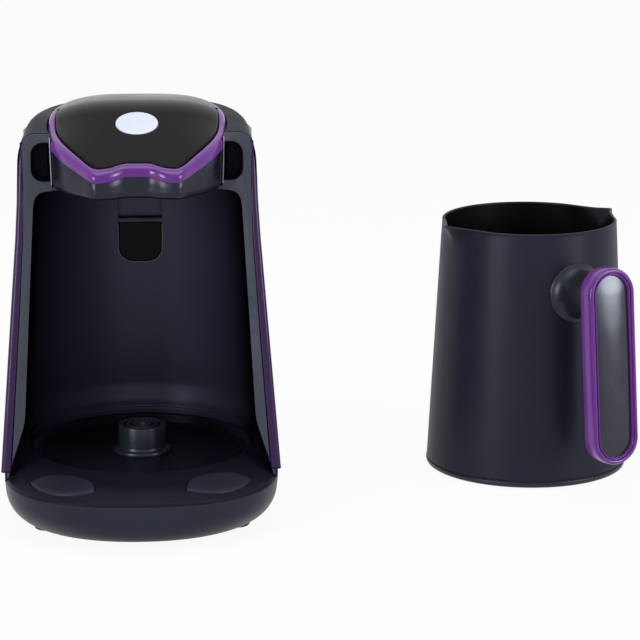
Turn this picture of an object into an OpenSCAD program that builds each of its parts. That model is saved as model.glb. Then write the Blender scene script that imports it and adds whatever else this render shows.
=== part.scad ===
// Electric Turkish coffee maker: a powered stand with an overhanging head and a
// lift-off brewing jug. The stand's own frame has the jug seat's axis at X = Y = 0,
// the front at -Y and the table at Z = 0. The jug's own frame has its axis at
// X = Y = 0 and its handle at -Y. The last section sets both on the table.

/* [Housing] */
// Width over the side panels at the foot of the wings
house_w = 155; // [151:1:160]
// How far the taper draws each side in, from the foot up to the waist
waist_in = 11; // [9:0.5:12.5]
// How far each side is drawn in at the shoulders
shoulder_in = 12.5; // [10.5:0.5:13.5]
// Height of the taper's end
waist_h = 170; // [150:1:180]
// Rise of the shoulders above the bay's roof
shoulder_rise = 31; // [29:1:37]
// Reach of the back behind the jug seat's axis
back_reach = 84; // [82:1:92]
// Reach of the wings ahead of the axis at their foot
wing_reach = 51; // [46:1:55]
// Reach of the wings ahead of the axis at the shoulders
shoulder_reach = 29; // [26:1:32]
// Rounding of the shoulders' top edge
shoulder_round = 7; // [4:0.5:9]
// Wall of the moulded shells
wall = 2.4; // [2:0.1:2.8]
// Thickness of the coloured side panels
panel_t = 2; // [1.6:0.1:2.4]
// Width of the side panels' front lip at the foot
lip_w = 5.5; // [4:0.5:7]

/* [Base] */
// Reach of the base ahead of the axis
base_reach = 101; // [98:1:106]
// Height of the rubber feet under the pan
foot_h = 4; // [3:0.5:6]
// Radius of a rubber foot
foot_r = 8; // [6:0.5:9]
// Height of the seam between pan and deck
seam_h = 27; // [25:0.5:28]
// Height of the deck round the seat
deck_h = 35; // [34:0.5:37]
// Height by which the leaf-shaped pads stand off the deck
pad_h = 0.8; // [0.5:0.1:1.5]

/* [Jug seat] */
// Step between the bay's wall and the round seat that the jug stands in
seat_in = 3.2; // [2.2:0.1:3.6]
// Height of the seat's floor
seat_h = 30; // [29.5:0.5:31]
// Radius of the connector tower
tower_r = 13.5; // [12:0.1:14]
// Height of the tower above the seat's floor
tower_h = 16; // [14:0.5:17]

/* [Bay] */
// Thickness of the housing beside the bay at its foot
wing_t = 13.3; // [12.5:0.1:14]
// How far the bay's wall draws in from the cove up to the roof
bay_taper = 7.4; // [6.2:0.1:7.7]
// Height of the bay's roof
bay_h = 187; // [185:0.5:189]
// Height where the cove runs out into the wall
cove_h = 52; // [48:1:56]
// Width of the sensor window
window_w = 25.6; // [20:0.1:28]
// Height of the sensor window's lower end
window_z = 127.5; // [120:0.5:135]
// Height of the window's upper end, where its cross bar starts
window_top = 151; // [146:0.5:156]

/* [Head] */
// Distance of the head's sides from the bay's wall at the roof
head_in = 7.3; // [6.8:0.1:8.8]
// Reach of the head ahead of the axis
head_reach = 66.5; // [64:0.5:70]
// Reach of the head behind the axis
head_back = 50; // [46:1:54]
// How far the two lobes of the nose stand out
lobe_out = 4.6; // [3:0.1:5.2]
// How deep the notch between the lobes is
notch_in = 5.8; // [3:0.1:6.4]
// Rise of the lid's plane above the bay's roof, 56 mm ahead of the axis
lid_front_rise = 19.2; // [18:0.1:21]
// Slope of the lid
lid_slope = 21.5; // [20:0.5:23]
// Rise of the lid's crest above the bay's roof
lid_rise = 43; // [41:0.5:44]
// How far the lid's crown falls to its side edges
lid_crown = 8.5; // [6:0.1:10]
// Width of the coloured trim round the lid
trim_w = 6; // [5:0.1:7]
// Depth of the trim's outer face below the lid
trim_h = 4.8; // [4:0.1:6]
// Thickness of the glossy lid panel
lid_t = 2.6; // [2:0.1:3.2]

/* [Button] */
// Radius of the button cap
button_r = 11.7; // [10:0.1:12.5]
// Distance of the button's centre ahead of the axis
button_y = 16.7; // [14:0.1:20]
// Travel of the button
button_travel = 1.2; // [0.8:0.1:1.5]
// Gap round the button cap
button_gap = 0.3; // [0.2:0.05:0.5]

/* [Jug] */
// Clearance of the jug's foot in the seat
jug_gap = 1.4; // [1:0.1:3]
// How far the jug's wall draws in from foot to rim
rim_in = 8.3; // [7.6:0.1:9.6]
// Height of the jug's rim
jug_h = 150; // [144:0.5:152]
// How far the spouts' tips stand out of the rim
spout_out = 4.7; // [2.7:0.1:4.9]
// Width of each spout at the rim
spout_w = 34; // [28:1:38]
// Wall of the jug
jug_wall = 1.4; // [1:0.1:1.8]
// Height of the plastic foot ring up to its groove
foot_ring_h = 4.6; // [4:0.1:6]
// Height of the jug's inner floor
jug_floor = 20; // [19:0.5:22]
// Radial clearance of the jug's socket on the tower
socket_gap = 0.4; // [0.3:0.05:0.6]
// Length of the handle
handle_l = 113; // [105:1:118]
// Width of the handle
handle_w = 30; // [26:0.5:32]
// Thickness of the handle
handle_t = 13.5; // [12:0.5:16]
// Height of the handle's middle
handle_z = 78.5; // [76:0.5:82]
// Distance of the handle's back from the jug's foot at its middle
handle_out = 20.4; // [17.4:0.5:24.4]
// Lean of the handle, top towards the jug
handle_lean = 5.5; // [4:0.5:7]
// Width of the handle's coloured trim
handle_trim_w = 4; // [3:0.1:5]
// Radius of the handle's stub
stub_r = 12.5; // [11:0.5:13.5]
// How far the stub's axis sits below the handle's top
stub_drop = 20; // [17:0.5:23]

/* [Layout] */
// Clear distance between stand and jug
jug_apart = 92; // [60:1:120]
// How far the jug stands behind the seat's axis
jug_behind = 67; // [40:1:80]
// Turn of the jug, handle towards the right
jug_turn = 24.8; // [0:0.1:40]

/* [Hidden] */
$fn = 72;

slice = 0.01;      // thickness of a slice that a loft is stretched over
fit = 0.2;         // gap between pieces that are fitted together
seat_gap = 0.05;   // gap between pieces that are screwed face to face
plan_y = -25;      // where the front and back halves of the plan meet
plan_n_front = 2.5;
plan_n_back = 2.9;
plan_steps = 14;   // steps along a quarter of a plan outline
far = 200;         // longer than any cut needs to be

// Sizes that follow from the driving ones, so that the bay takes the jug
waist_w = house_w - 2 * waist_in;
shoulder_w = house_w - 2 * shoulder_in;
shoulder_h = bay_h + shoulder_rise;
bay_r = house_w / 2 - wing_t;
bay_top_r = bay_r - bay_taper;
seat_r = bay_r - seat_in;
head_w = bay_top_r - head_in;
lid_front_h = bay_h + lid_front_rise;
lid_top = bay_h + lid_rise;
jug_r = seat_r - jug_gap;
rim_r = jug_r - rim_in;
spout_r = rim_r + spout_out;
handle_r = jug_r + handle_out;
stub_z = handle_z + handle_l / 2 - stub_drop;

// Rise of the wings' front edge, which leans back
lean = atan((wing_reach - shoulder_reach) / (shoulder_h - deck_h + 5));

// ---------------------------------------------------------------- plan outlines

// One quarter of a superellipse from angle a0 to a1
function quarter(a, b, n, a0, a1) = [for (i = [0:plan_steps])
    let (t = a0 + (a1 - a0) * i / plan_steps)
    [a * sign(cos(t)) * pow(abs(cos(t)), 2 / n), b * sign(sin(t)) * pow(abs(sin(t)), 2 / n)]];

function shift_y(points, y) = [for (p = points) [p[0], p[1] + y]];

// Plan of the base: half width a, reaches f ahead of and r behind the axis
function base_outline(a, f, r, n) = concat(
    shift_y(quarter(a, r - plan_y, plan_n_back, 0, 90), plan_y),
    shift_y(quarter(a, r - plan_y, plan_n_back, 90, 180), plan_y),
    shift_y(quarter(a, f + plan_y, n, 180, 270), plan_y),
    shift_y(quarter(a, f + plan_y, n, 270, 360), plan_y));

module base_plan(grow = 0, n = plan_n_front) {
    polygon(base_outline(house_w / 2 - 1 + grow, base_reach + grow, back_reach + 1 + grow, n));
}

// Plan of the housing: rounded back, straight sides that run on past the wings
module house_plan(a, grow = 0) {
    polygon(concat([[a, -far / 2]],
        shift_y(quarter(a, back_reach - plan_y + grow, plan_n_back, 0, 90), plan_y),
        shift_y(quarter(a, back_reach - plan_y + grow, plan_n_back, 90, 180), plan_y),
        [[-a, -far / 2]]));
}

// Front half of the head's plan: a superellipse with two lobes and a notch
head_n = 2.3;
head_mid = -5;
nose_steps = plan_steps + 7;
lobe_x = head_w - 26.5;
lobe_soft = 6.5;
notch_soft = 11.5;
function bell(x, soft, n = 2) = exp(-pow(abs(x) / soft, n));
function nose(points) = [for (p = points)
    [p[0], p[1] - lobe_out * bell(abs(p[0]) - lobe_x, lobe_soft) + notch_in * bell(p[0], notch_soft, 4)]];
function front_point(grow, t) = nose(shift_y(
    [quarter(head_w + grow, head_reach + head_mid + grow, head_n, t, t)[0]], head_mid))[0];
function head_outline(grow) = concat(
    shift_y(quarter(head_w + grow, head_back - head_mid + grow, 2.6, 0, 90), head_mid),
    shift_y(quarter(head_w + grow, head_back - head_mid + grow, 2.6, 90, 180), head_mid),
    // without the ends, which the back half holds already
    [for (i = [1:2 * nose_steps - 1]) front_point(grow, 180 + 90 * i / nose_steps)]);

module head_plan(grow = 0) { polygon(head_outline(grow)); }

// Plan of the bay: round at the back, straight towards the front
module bay_plan(r) {
    polygon(concat([for (t = [180:-7.5:0]) [r * cos(t), r * sin(t)]], [[r, -far / 2], [-r, -far / 2]]));
}

// Plan of the flare: from half width r beside the seat to w at the wings' front
module flare_plan(r, w) {
    polygon([[r, -12], [w, -wing_reach], [w, -far / 2], [-w, -far / 2], [-w, -wing_reach], [-r, -12]]);
}

module at(z) { translate([0, 0, z]) linear_extrude(slice) children(); }

// ---------------------------------------------------------------- shared blocks

// Outer block of the housing, without the side panels when inset is panel_t
module house_block(side, inset = 0) {
    foot_a = house_w / 2 - side - inset;
    waist_a = waist_w / 2 - side - inset;
    top_a = shoulder_w / 2 - side - inset;
    top = shoulder_h - inset;
    hull() {
        at(seam_h + seat_gap) house_plan(foot_a, -inset);
        at(waist_h) house_plan(waist_a, -inset);
    }
    hull() {
        at(waist_h) house_plan(waist_a, -inset);
        at(top - shoulder_round) house_plan(top_a, -inset);
        for (t = [30, 60, 90])
            at(top - shoulder_round * (1 - sin(t)))
                house_plan(top_a - shoulder_round * (1 - cos(t)), -inset - shoulder_round * (1 - cos(t)));
    }
}

// Everything behind the leaning front plane, moved back by depth
module behind_front(depth = 0) {
    translate([0, depth - wing_reach, deck_h - 5]) rotate([-lean, 0, 0])
        translate([-far, 0, -far / 2]) cube([2 * far, 2 * far, 2 * far]);
}

// Top of the bay's roof, where the head rests
roof_z = bay_h + wall - 0.1;

// The bay's hollow, grown for its wall
module bay_hollow(grow = 0) {
    hull() {
        at(deck_h - grow) bay_plan(seat_r + 0.5 + grow);
        at(deck_h + 5) bay_plan(seat_r + 1.4 + grow);
        at((deck_h + cove_h) / 2 + 3) bay_plan(bay_r - 0.7 + grow);
        at(cove_h) bay_plan(bay_r + grow);
        at(bay_h - 8) bay_plan(bay_top_r + 0.3 + grow);
        at(bay_h - 2.5 + grow) bay_plan(bay_top_r - 2 + grow);
        at(bay_h + grow) bay_plan(bay_top_r - 8 + grow);
    }
}

// The flare that opens the bay's foot out to the wings' corners
flare_w = house_w / 2 - panel_t - 2 * wall - fit;
flare_h = 64;
module bay_flare(grow = 0) {
    hull() {
        at(deck_h - 4) flare_plan(seat_r - 0.7 + grow, flare_w + grow);
        at(flare_h) flare_plan(bay_r - 1.6 + grow, bay_r - 1.6 + grow);
    }
}

// Dome of the deck from the seam up to the seat's edge, lifted by rise
module deck_dome(rise = 0, inset = 0) {
    hull() {
        at(seam_h + rise + seat_gap) base_plan(-inset);
        at(seam_h + 1.6 + rise) base_plan(-1.2 - inset);
        at(deck_h + rise - slice) base_plan(house_w / -2 + seat_r + 4 - inset, 2.1);
    }
}

// Side profile of the lid: a slope, a rolled crest and a long fall to the back
crest_r = 60;
fall_r = 300;
slope_y = -56;
crest_y0 = slope_y + (lid_top - crest_r * (1 - cos(lid_slope)) - lid_front_h) / tan(lid_slope);
crest_y = crest_y0 + crest_r * sin(lid_slope);
function lid_z(y) = y < crest_y0 ? lid_front_h + (y - slope_y) * tan(lid_slope)
    : y < crest_y ? lid_top - crest_r + sqrt(pow(crest_r, 2) - pow(y - crest_y, 2))
    : lid_top - fall_r + sqrt(pow(fall_r, 2) - pow(y - crest_y, 2));
lid_ys = concat([-far / 2, crest_y0], [for (i = [1:5]) crest_y0 + (crest_y - crest_y0) * i / 5],
    [for (i = [1:5]) crest_y + i * 16]);

// Everything below the lid's surface, lowered by drop: its side profile and its crown
crown_xs = [for (i = [-7:7]) i * (head_w + 3) / 7];
module below_lid(drop = 0) {
    intersection() {
        lid_profile(drop);
        rotate([90, 0, 0]) translate([0, 0, -far / 2]) linear_extrude(far) polygon(concat(
            [for (x = crown_xs) [x, lid_top - drop - lid_crown * pow(abs(x) / head_w, 4)]],
            [[head_w + 3, bay_h - 87], [-head_w - 3, bay_h - 87]]));
    }
}

module lid_profile(drop) {
    rotate([90, 0, 90]) translate([0, 0, -far / 2]) linear_extrude(far)
        polygon(concat([for (y = lid_ys) [y, lid_z(y) - drop]],
            [[lid_ys[len(lid_ys) - 1], bay_h - 87], [-far / 2, bay_h - 87]]));
}

// The slab between two depths below the lid
module lid_slab(top, bottom) {
    difference() {
        below_lid(top);
        translate([0, 0, top - bottom]) below_lid(top);
    }
}

module prism(grow, z0 = bay_h - 37) { translate([0, 0, z0]) linear_extrude(lid_top + 12 - z0) head_plan(grow); }

// Frame on the lid's surface at the button, +Z along the button's axis
module on_lid() { translate([0, -button_y, lid_z(-button_y)]) rotate([lid_slope, 0, 0]) children(); }

// ---------------------------------------------------------------- base

boss_xy = [for (s = [-1, 1]) each [[s * (house_w / 2 - 33.5), -58], [s * (house_w / 2 - 25.5), 38]]];
foot_xy = [for (s = [-1, 1]) each [[s * (house_w / 2 - 25.5), -48], [s * (house_w / 2 - 27.5), 56]]];
boss_r = 5;
screw_r = 1.5;
screw_head_r = 3.2;
screw_head_h = 2.2;
counterbore_h = 8;
gland_z = 15;
gland_r = 8;
gland_lip = 2.5;
vent_w = 3;
vent_l = 34;

module pan_block(inset = 0) {
    hull() {
        at(seam_h) base_plan(-inset);
        at(seam_h - 8) base_plan(-0.6 - inset);
        at(foot_h + 7.5 + inset / 2) base_plan(-2.8 - inset, 2.35);
        at(foot_h + 2.6 + inset / 2) base_plan(-5.6 - inset, 2.2);
        at(foot_h + inset / 2) base_plan(-10 - inset, 2.15);
    }
}

module base_pan() {
    $fn = 28;
    color([0.17, 0.18, 0.22]) {
        difference() {
            pan_block();
            translate([0, 0, wall / 2]) pan_block(wall);
            translate([0, 0, seam_h - slice]) cylinder(r = far, h = 5);
            // sockets of the feet and counterbores of the screws
            for (p = foot_xy) translate([p[0], p[1], 0]) cylinder(r = foot_r - 1.2, h = foot_h + 4);
            for (p = boss_xy) translate([p[0], p[1], 0])
                cylinder(r = screw_head_r + 0.4, h = counterbore_h + foot_h);
            // cooling slots under the boards
            for (i = [-3:3]) translate([i * 8, 18, 0]) hull() {
                cylinder(r = vent_w / 2, h = 12, $fn = 16);
                translate([0, vent_l, 0]) cylinder(r = vent_w / 2, h = 12, $fn = 16);
            }
            // hole of the cord gland
            translate([0, gland_back - seat_gap, gland_z]) rotate([-90, 0, 0]) {
                translate([0, 0, -20]) cylinder(r = gland_r - gland_lip + 0.1, h = 40);
                cylinder(r = gland_r + 0.1, h = 20);
                translate([0, 0, -20]) cylinder(r = gland_r - 1, h = 20 - wall - 0.1);
            }
        }
        for (p = boss_xy) translate([p[0], p[1], 0]) difference() {
            translate([0, 0, foot_h + wall]) cylinder(r = boss_r, h = seam_h - foot_h - wall);
            cylinder(r = screw_head_r + 0.4, h = counterbore_h + foot_h);
            cylinder(r = screw_r + 0.25, h = 40);
        }
        for (p = foot_xy) translate([p[0], p[1], 0]) difference() {
            translate([0, 0, foot_h + 1]) cylinder(r = foot_r, h = 5);
            cylinder(r = foot_r - 1.2, h = foot_h + 4);
        }
    }
}

module rubber_feet() {
    color([0.06, 0.06, 0.07])
        for (p = foot_xy) translate([p[0], p[1], 0]) rotate_extrude()
            polygon([[0, 0], [foot_r - 1, 0], [foot_r, 1], [foot_r, foot_h - 0.4], [foot_r - 1.4, foot_h - 0.4],
                [foot_r - 1.4, foot_h + 4], [0, foot_h + 4]]);
}

module screw(r, head_r, head_h, length) {
    rotate_extrude() polygon([[0, 0], [head_r - 0.4, 0], [head_r, 0.4], [head_r, head_h],
        [r, head_h], [r, length - r], [0, length]]);
}

module base_screws() {
    color([0.62, 0.63, 0.65])
        for (p = boss_xy) translate([p[0], p[1], foot_h + counterbore_h - screw_head_h])
            screw(screw_r, screw_head_r, screw_head_h, seam_h - foot_h - counterbore_h + screw_head_h + 3);
}

// Where the deck lies: free ahead of the wings, inside the shells behind them
module deck_area() {
    difference() {
        cube([2 * far, 2 * far, 2 * far], center = true);
        behind_front(-0.1);
    }
    translate([0, 0, seam_h]) linear_extrude(30)
        house_plan(house_w / 2 - panel_t - wall - fit - 0.9, -wall - fit - 1);
}

// Leaf-shaped pads on the deck's slope: a lens with an inner and an outer bulge
leaf_l = 41.4;
leaf_in = 12;
leaf_out = 8;
leaf_turn = 32;
function bulge_r(b) = (pow(leaf_l / 2, 2) + pow(b, 2)) / (2 * b);
module leaf() {
    translate([house_w / 2 - 35, -79]) rotate(leaf_turn) intersection() {
        translate([0, leaf_in - bulge_r(leaf_in)]) circle(r = bulge_r(leaf_in));
        translate([0, bulge_r(leaf_out) - leaf_out]) circle(r = bulge_r(leaf_out));
    }
}

module base_deck() {
    color([0.18, 0.19, 0.23]) {
        difference() {
            intersection() {
                union() {
                    deck_dome();
                    intersection() {
                        deck_dome(pad_h);
                        linear_extrude(60) union() {
                            leaf();
                            mirror([1, 0]) leaf();
                        }
                    }
                }
                deck_area();
            }
            translate([0, 0, seat_h]) cylinder(r = seat_r, h = 30);
            // hollow under the deck, outside the seat's wall and the front bosses
            difference() {
                translate([0, 0, -wall]) deck_dome(0, wall);
                translate([0, 0, seam_h - 5]) cylinder(r = seat_r + wall, h = 40);
                for (p = boss_xy) if (p[1] < 0) translate([p[0], p[1], 0]) cylinder(r = boss_r, h = 60);
            }
            translate([0, 0, seam_h - 1]) cylinder(r = lock_r + 0.15, h = 10);
            for (p = boss_xy) translate([p[0], p[1], seam_h - 1]) cylinder(r = screw_r + 0.3, h = 5);
        }
    }
}

// ---------------------------------------------------------------- connector

lock_r = 14.6;
lock_h = 2.6;
flange_r = 16.4;
flange_h = 2.4;
tower_top = seat_h + tower_h;
groove_rs = [5.2, 8.8];
groove_w = 1.9;
groove_d = 11;
pin_hole_r = 2.6;

module connector_tower() {
    color([0.13, 0.14, 0.17]) difference() {
        rotate_extrude() polygon([[0, seat_h - 9], [lock_r - 0.8, seat_h - 9], [lock_r, seat_h - 8.2],
            [lock_r, seat_h + seat_gap], [flange_r, seat_h + seat_gap], [flange_r, seat_h + flange_h - 0.8],
            [flange_r - 0.8, seat_h + flange_h], [tower_r, seat_h + flange_h], [tower_r, tower_top - 1],
            [tower_r - 1, tower_top], [0, tower_top]]);
        for (r = groove_rs) translate([0, 0, tower_top - groove_d]) difference() {
            cylinder(r = r + groove_w, h = 20);
            translate([0, 0, -1]) cylinder(r = r, h = 22);
        }
        translate([0, 0, tower_top - groove_d]) cylinder(r = pin_hole_r, h = 20);
        // neck that the lock ring grips
        translate([0, 0, seam_h - lock_h - seat_gap]) difference() {
            cylinder(r = far, h = lock_h + 2 * seat_gap);
            translate([0, 0, -1]) cylinder(r = lock_r - 1.5, h = 5);
        }
    }
}

module tower_contacts() {
    color([0.78, 0.66, 0.42]) {
        for (r = groove_rs) translate([0, 0, tower_top - groove_d + seat_gap]) difference() {
            cylinder(r = r + 0.6, h = groove_d - 2.5);
            translate([0, 0, -1]) cylinder(r = r + 0.05, h = 30);
        }
        translate([0, 0, tower_top - groove_d + seat_gap]) difference() {
            cylinder(r = pin_hole_r - 0.1, h = groove_d - 1);
            translate([0, 0, 1.5]) cylinder(r = 1.5, h = 20);
        }
    }
}

module tower_lock_ring() {
    color([0.5, 0.52, 0.55]) translate([0, 0, seam_h - lock_h]) difference() {
        cylinder(r = lock_r + 4, h = lock_h);
        translate([0, 0, -1]) cylinder(r = lock_r - 1.3, h = 6);
        translate([0, -1.5, -1]) cube([30, 3, 6]);
    }
}

// ---------------------------------------------------------------- housing

bezel_t = 3;
wing_foot = deck_h - 3.4;   // height of the frame's corners on the sloping deck
block_d = 18;
pocket_d = 14;
pocket_x0 = head_w - 5;   // inside the slot of the head, so that no skin is left between them
pocket_x1 = shoulder_w / 2 - 7;
pocket_z0 = bay_h + 5;
pocket_z1 = shoulder_h - 4.5;

// Round-ended slot beside the head, x0 to x1 and z0 to z1
module pocket() {
    r = (pocket_x1 - pocket_x0) / 2;
    rotate([90, 0, 0]) translate([0, 0, -far / 2]) linear_extrude(far) {
        translate([pocket_x0 + r, pocket_z1 - r]) circle(r = r);
        translate([pocket_x0 + r, pocket_z0 + r]) circle(r = r);
        translate([pocket_x0, pocket_z0 + r]) square([2 * r, pocket_z1 - pocket_z0 - 2 * r]);
    }
}

module sensor_channel(half, z0, z1, r) {
    rotate([90, 0, 180]) linear_extrude(far / 2) {
        translate([-half, z0 + r]) square([2 * half, z1 - z0 - r]);
        translate([-half + r, z0]) square([2 * (half - r), r + 1]);
        for (s = [-1, 1]) translate([s * (half - r), z0 + r]) circle(r = r);
    }
}

// Depth of the window's face behind the axis
window_y = bay_r - (bay_r - bay_top_r) * (window_z - cove_h) / (bay_h - cove_h) - 0.4;
window_depth = 2.6;

// Lip of the side panel that wraps the wing's front edge
module side_lip(grow = 0) {
    rise = shoulder_h - 14 - (deck_h - 4);
    translate([0, -wing_reach, deck_h - 5]) rotate([-lean, 0, 0]) hull() {
        translate([house_w / 2 - lip_w - grow, -1, -1]) cube([lip_w + 4, 3 + grow + 1, slice]);
        translate([shoulder_w / 2 - panel_t - 0.3 - grow, -1, rise + grow + 1]) cube([8, 3 + grow + 1, slice]);
    }
}

module bay_liner() {
    color([0.12, 0.13, 0.16]) difference() {
        intersection() {
            union() {
                // wall round the bay
                intersection() {
                    union() {
                        bay_hollow(wall);
                        bay_flare(wall);
                    }
                    translate([-far / 2, -far / 2, deck_h + 2 * seat_gap])
                        cube([far, far, roof_z - deck_h - 2 * seat_gap]);
                }
                // front frame, which laps over the ends of the shell's walls
                difference() {
                    house_block(panel_t);
                    behind_front(bezel_t);
                    cylinder(r = far, h = wing_foot);
                }
                // block that carries the head
                difference() {
                    intersection() {
                        translate([0, 0, -0.6]) house_block(panel_t, wall + fit);
                        translate([-far / 2, -far / 2, bay_h - 3])
                            cube([far, far, shoulder_h - wall - bay_h + 2]);
                    }
                    behind_front(block_d);
                }
                // pegs of the power board
                for (x = [-1, 1], z = [5, board_h - 5]) translate([x * (board_w / 2 - 5), 40, board_foot + z])
                    rotate([-90, 0, 0]) cylinder(r = 2.6, h = power_y - seat_gap - 40, $fn = 16);
                // thick back of the sensor window
                translate([-window_w / 2 - wall, bay_top_r - 6, window_z - wall])
                    cube([window_w + 2 * wall, window_y + window_depth + wall - bay_top_r + 6,
                        bay_h - window_z]);
            }
            behind_front();
        }
        bay_hollow();
        bay_flare();
        // deck that the frame stands on
        deck_dome(seat_gap);
        // seat of the head and the slots beside it
        translate([0, 0, roof_z]) linear_extrude(far) head_plan(fit);
        for (s = [0, 1]) mirror([s, 0, 0]) {
            difference() {
                pocket();
                behind_front(pocket_d);
            }
            side_lip(0.1);
        }
        intersection() {
            sensor_channel(window_w / 2, window_z, bay_h + 20, 9);
            translate([-far / 2, -far, 0]) cube([far, far + window_y + window_depth, far * 2]);
        }
    }
}

module rear_shell() {
    color([0.16, 0.17, 0.21]) {
        difference() {
            intersection() {
                house_block(panel_t);
                behind_front(bezel_t + seat_gap);
            }
            translate([0, 0, -0.2]) house_block(panel_t, wall);
            translate([0, 0, seam_h - 5]) linear_extrude(6) house_plan(house_w / 2 - panel_t - wall, -wall);
            prism(fit);
            // cooling louvres in the back
            for (i = [0:6]) translate([-24, back_reach - 12, 52 + i * 7]) cube([48, 20, 3]);
            for (z = screw_zs) translate([0, back_reach - 6, z]) rotate([-90, 0, 0])
                cylinder(r = screw_r + 0.3, h = 20);
        }
    }
}
screw_zs = [44, 178];

// Side panel: a skin over the shell's side with a lip round the wing's front edge
panel_back = 44;
panel_top = shoulder_h - 9;
module side_panel() {
    difference() {
        union() {
            intersection() {
                difference() {
                    house_block(0);
                    house_block(panel_t - 0.05);
                }
                behind_front(0);
                translate([0, -far / 2, seam_h + 1]) cube([far, far / 2 + panel_back, panel_top - seam_h - 1]);
            }
            intersection() {
                side_lip();
                house_block(0);
                behind_front(0);
                translate([0, -far / 2, seam_h + 1]) cube([far, far, panel_top - seam_h - 1]);
            }
        }
        deck_dome(seat_gap);
        translate([0, 0, -1]) linear_extrude(seam_h + 2) base_plan(5);
    }
}

module side_panel_left() { color([0.34, 0.14, 0.5]) mirror([1, 0, 0]) side_panel(); }
module side_panel_right() { color([0.34, 0.14, 0.5]) side_panel(); }

// ---------------------------------------------------------------- head

trim_back = 18;

// Everything ahead of the trim's open ends
module ahead_of(y) { translate([-far / 2, y - far, 0]) cube([far, far, 2 * far]); }

module head_housing() {
    color([0.14, 0.15, 0.19]) {
        difference() {
            intersection() {
                prism(0, bay_h + 0.5);
                union() {
                    below_lid(trim_h + seat_gap);
                    difference() {
                        below_lid(lid_t + seat_gap);
                        ahead_of(trim_back);
                    }
                }
            }
            prism(-wall, bay_h + 0.5 + 2 * wall);
            // step that rests on the roof, behind the overhanging nose
            intersection() {
                behind_front(-fit);
                translate([-far / 2, -far / 2, 0]) cube([far, far, roof_z + seat_gap]);
            }
        }
        // ledge under the lid's edge
        intersection() {
            difference() {
                prism(-wall + 0.2);
                prism(-trim_w - 2);
            }
            lid_slab(trim_h + seat_gap, trim_h + 1.8);
        }
    }
}

module trim_ring() {
    color([0.46, 0.2, 0.6]) intersection() {
        difference() {
            prism(0.2);
            prism(-trim_w);
        }
        lid_slab(-0.2, trim_h);
        ahead_of(trim_back);
    }
}

module lid_panel() {
    color([0.05, 0.05, 0.06]) {
        difference() {
            intersection() {
                union() {
                    prism(-trim_w - fit);
                    difference() {
                        prism(-0.1);
                        ahead_of(trim_back + fit);
                    }
                }
                lid_slab(0, lid_t);
            }
            on_lid() translate([0, 0, -20]) cylinder(r = button_r + button_gap, h = 40);
        }
        // posts of the control board
        on_lid() for (x = [-1, 1], y = [-1, 1]) translate([x * post_x, y * post_y, -board_drop]) difference() {
            cylinder(r = post_r, h = board_drop - lid_t + 0.5);
            translate([0, 0, -1]) cylinder(r = 1, h = 9);
        }
    }
}

// ---------------------------------------------------------------- electronics

post_x = 19;
post_y = 15;
post_r = 2.6;
board_t = 1.6;
board_drop = 20;      // depth of the control board's top below the lid
switch_w = 7.8;
switch_h = 4.6;
plunger_h = 2.2;
stem_r = 2.8;
cap_h = 4.2;
board_z = -board_drop;

module control_board() {
    color([0.08, 0.3, 0.16]) on_lid() translate([0, 0, board_z - board_t - seat_gap]) difference() {
        translate([-post_x - 4, -post_y - 4, 0]) cube([2 * post_x + 8, 2 * post_y + 8, board_t]);
        for (x = [-1, 1], y = [-1, 1]) translate([x * post_x, y * post_y, -1]) cylinder(r = 1.4, h = 4);
    }
}

module board_screws() {
    color([0.62, 0.63, 0.65]) on_lid() for (x = [-1, 1], y = [-1, 1])
        translate([x * post_x, y * post_y, board_z - board_t - 2 * seat_gap - 1.2]) screw(0.95, 2.1, 1.2, 8);
}

module switch_body() {
    color([0.1, 0.1, 0.11]) on_lid() difference() {
        translate([-switch_w / 2, -switch_w / 2, board_z]) cube([switch_w, switch_w, switch_h]);
        translate([0, 0, board_z + 1]) cylinder(r = 1.75, h = switch_h);
    }
}

module status_led() {
    color([0.9, 0.9, 0.95]) on_lid() for (x = [-1, 1]) translate([x * 7.5, 0, board_z])
        rotate_extrude() polygon([[0, 0], [1.9, 0], [1.9, 0.8], [1.5, 0.8], [1.5, 3.6], [1, 4.6], [0, 5]]);
}

module buzzer() {
    color([0.07, 0.07, 0.08]) on_lid() translate([0, -12.5, board_z]) difference() {
        cylinder(r = 4.6, h = 6.5);
        translate([0, 0, 5]) cylinder(r = 1, h = 5);
    }
}

sensor_board_y = window_y + window_depth + wall + 1;
module sensor_window() {
    color([0.03, 0.03, 0.04]) difference() {
        intersection() {
            sensor_channel(window_w / 2 - 0.15, window_z + 0.15, window_top, 8.9);
            translate([-far / 2, window_y + 0.4, 0]) cube([far, window_depth - 0.4 - seat_gap, far * 2]);
        }
    }
}

module sensor_board() {
    color([0.08, 0.3, 0.16]) {
        translate([-11, sensor_board_y, window_z + 2]) cube([22, board_t, 26]);
        translate([-3, window_y + window_depth + wall + 0.1, window_z + 9]) cube([6, 1, 6]);
    }
}

power_y = bay_r + wall + 3.2;
board_w = 74;
board_h = 72;
board_foot = cove_h - 4;
module power_board() {
    color([0.08, 0.3, 0.16]) translate([-board_w / 2, power_y, board_foot]) difference() {
        cube([board_w, board_t, board_h]);
        for (x = [5, board_w - 5], z = [5, board_h - 5]) translate([x, -1, z])
            rotate([-90, 0, 0]) cylinder(r = 1.6, h = 5);
    }
}

module relay() {
    color([0.1, 0.2, 0.42]) translate([8, power_y + board_t, board_foot + 44]) cube([11, 6, 19]);
}

module transformer() {
    color([0.75, 0.62, 0.12]) translate([-24, power_y + board_t, board_foot + 44]) {
        cube([22, 3, 20]);
        translate([3, 3, 3]) cube([16, 4, 14]);
    }
}

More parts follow.
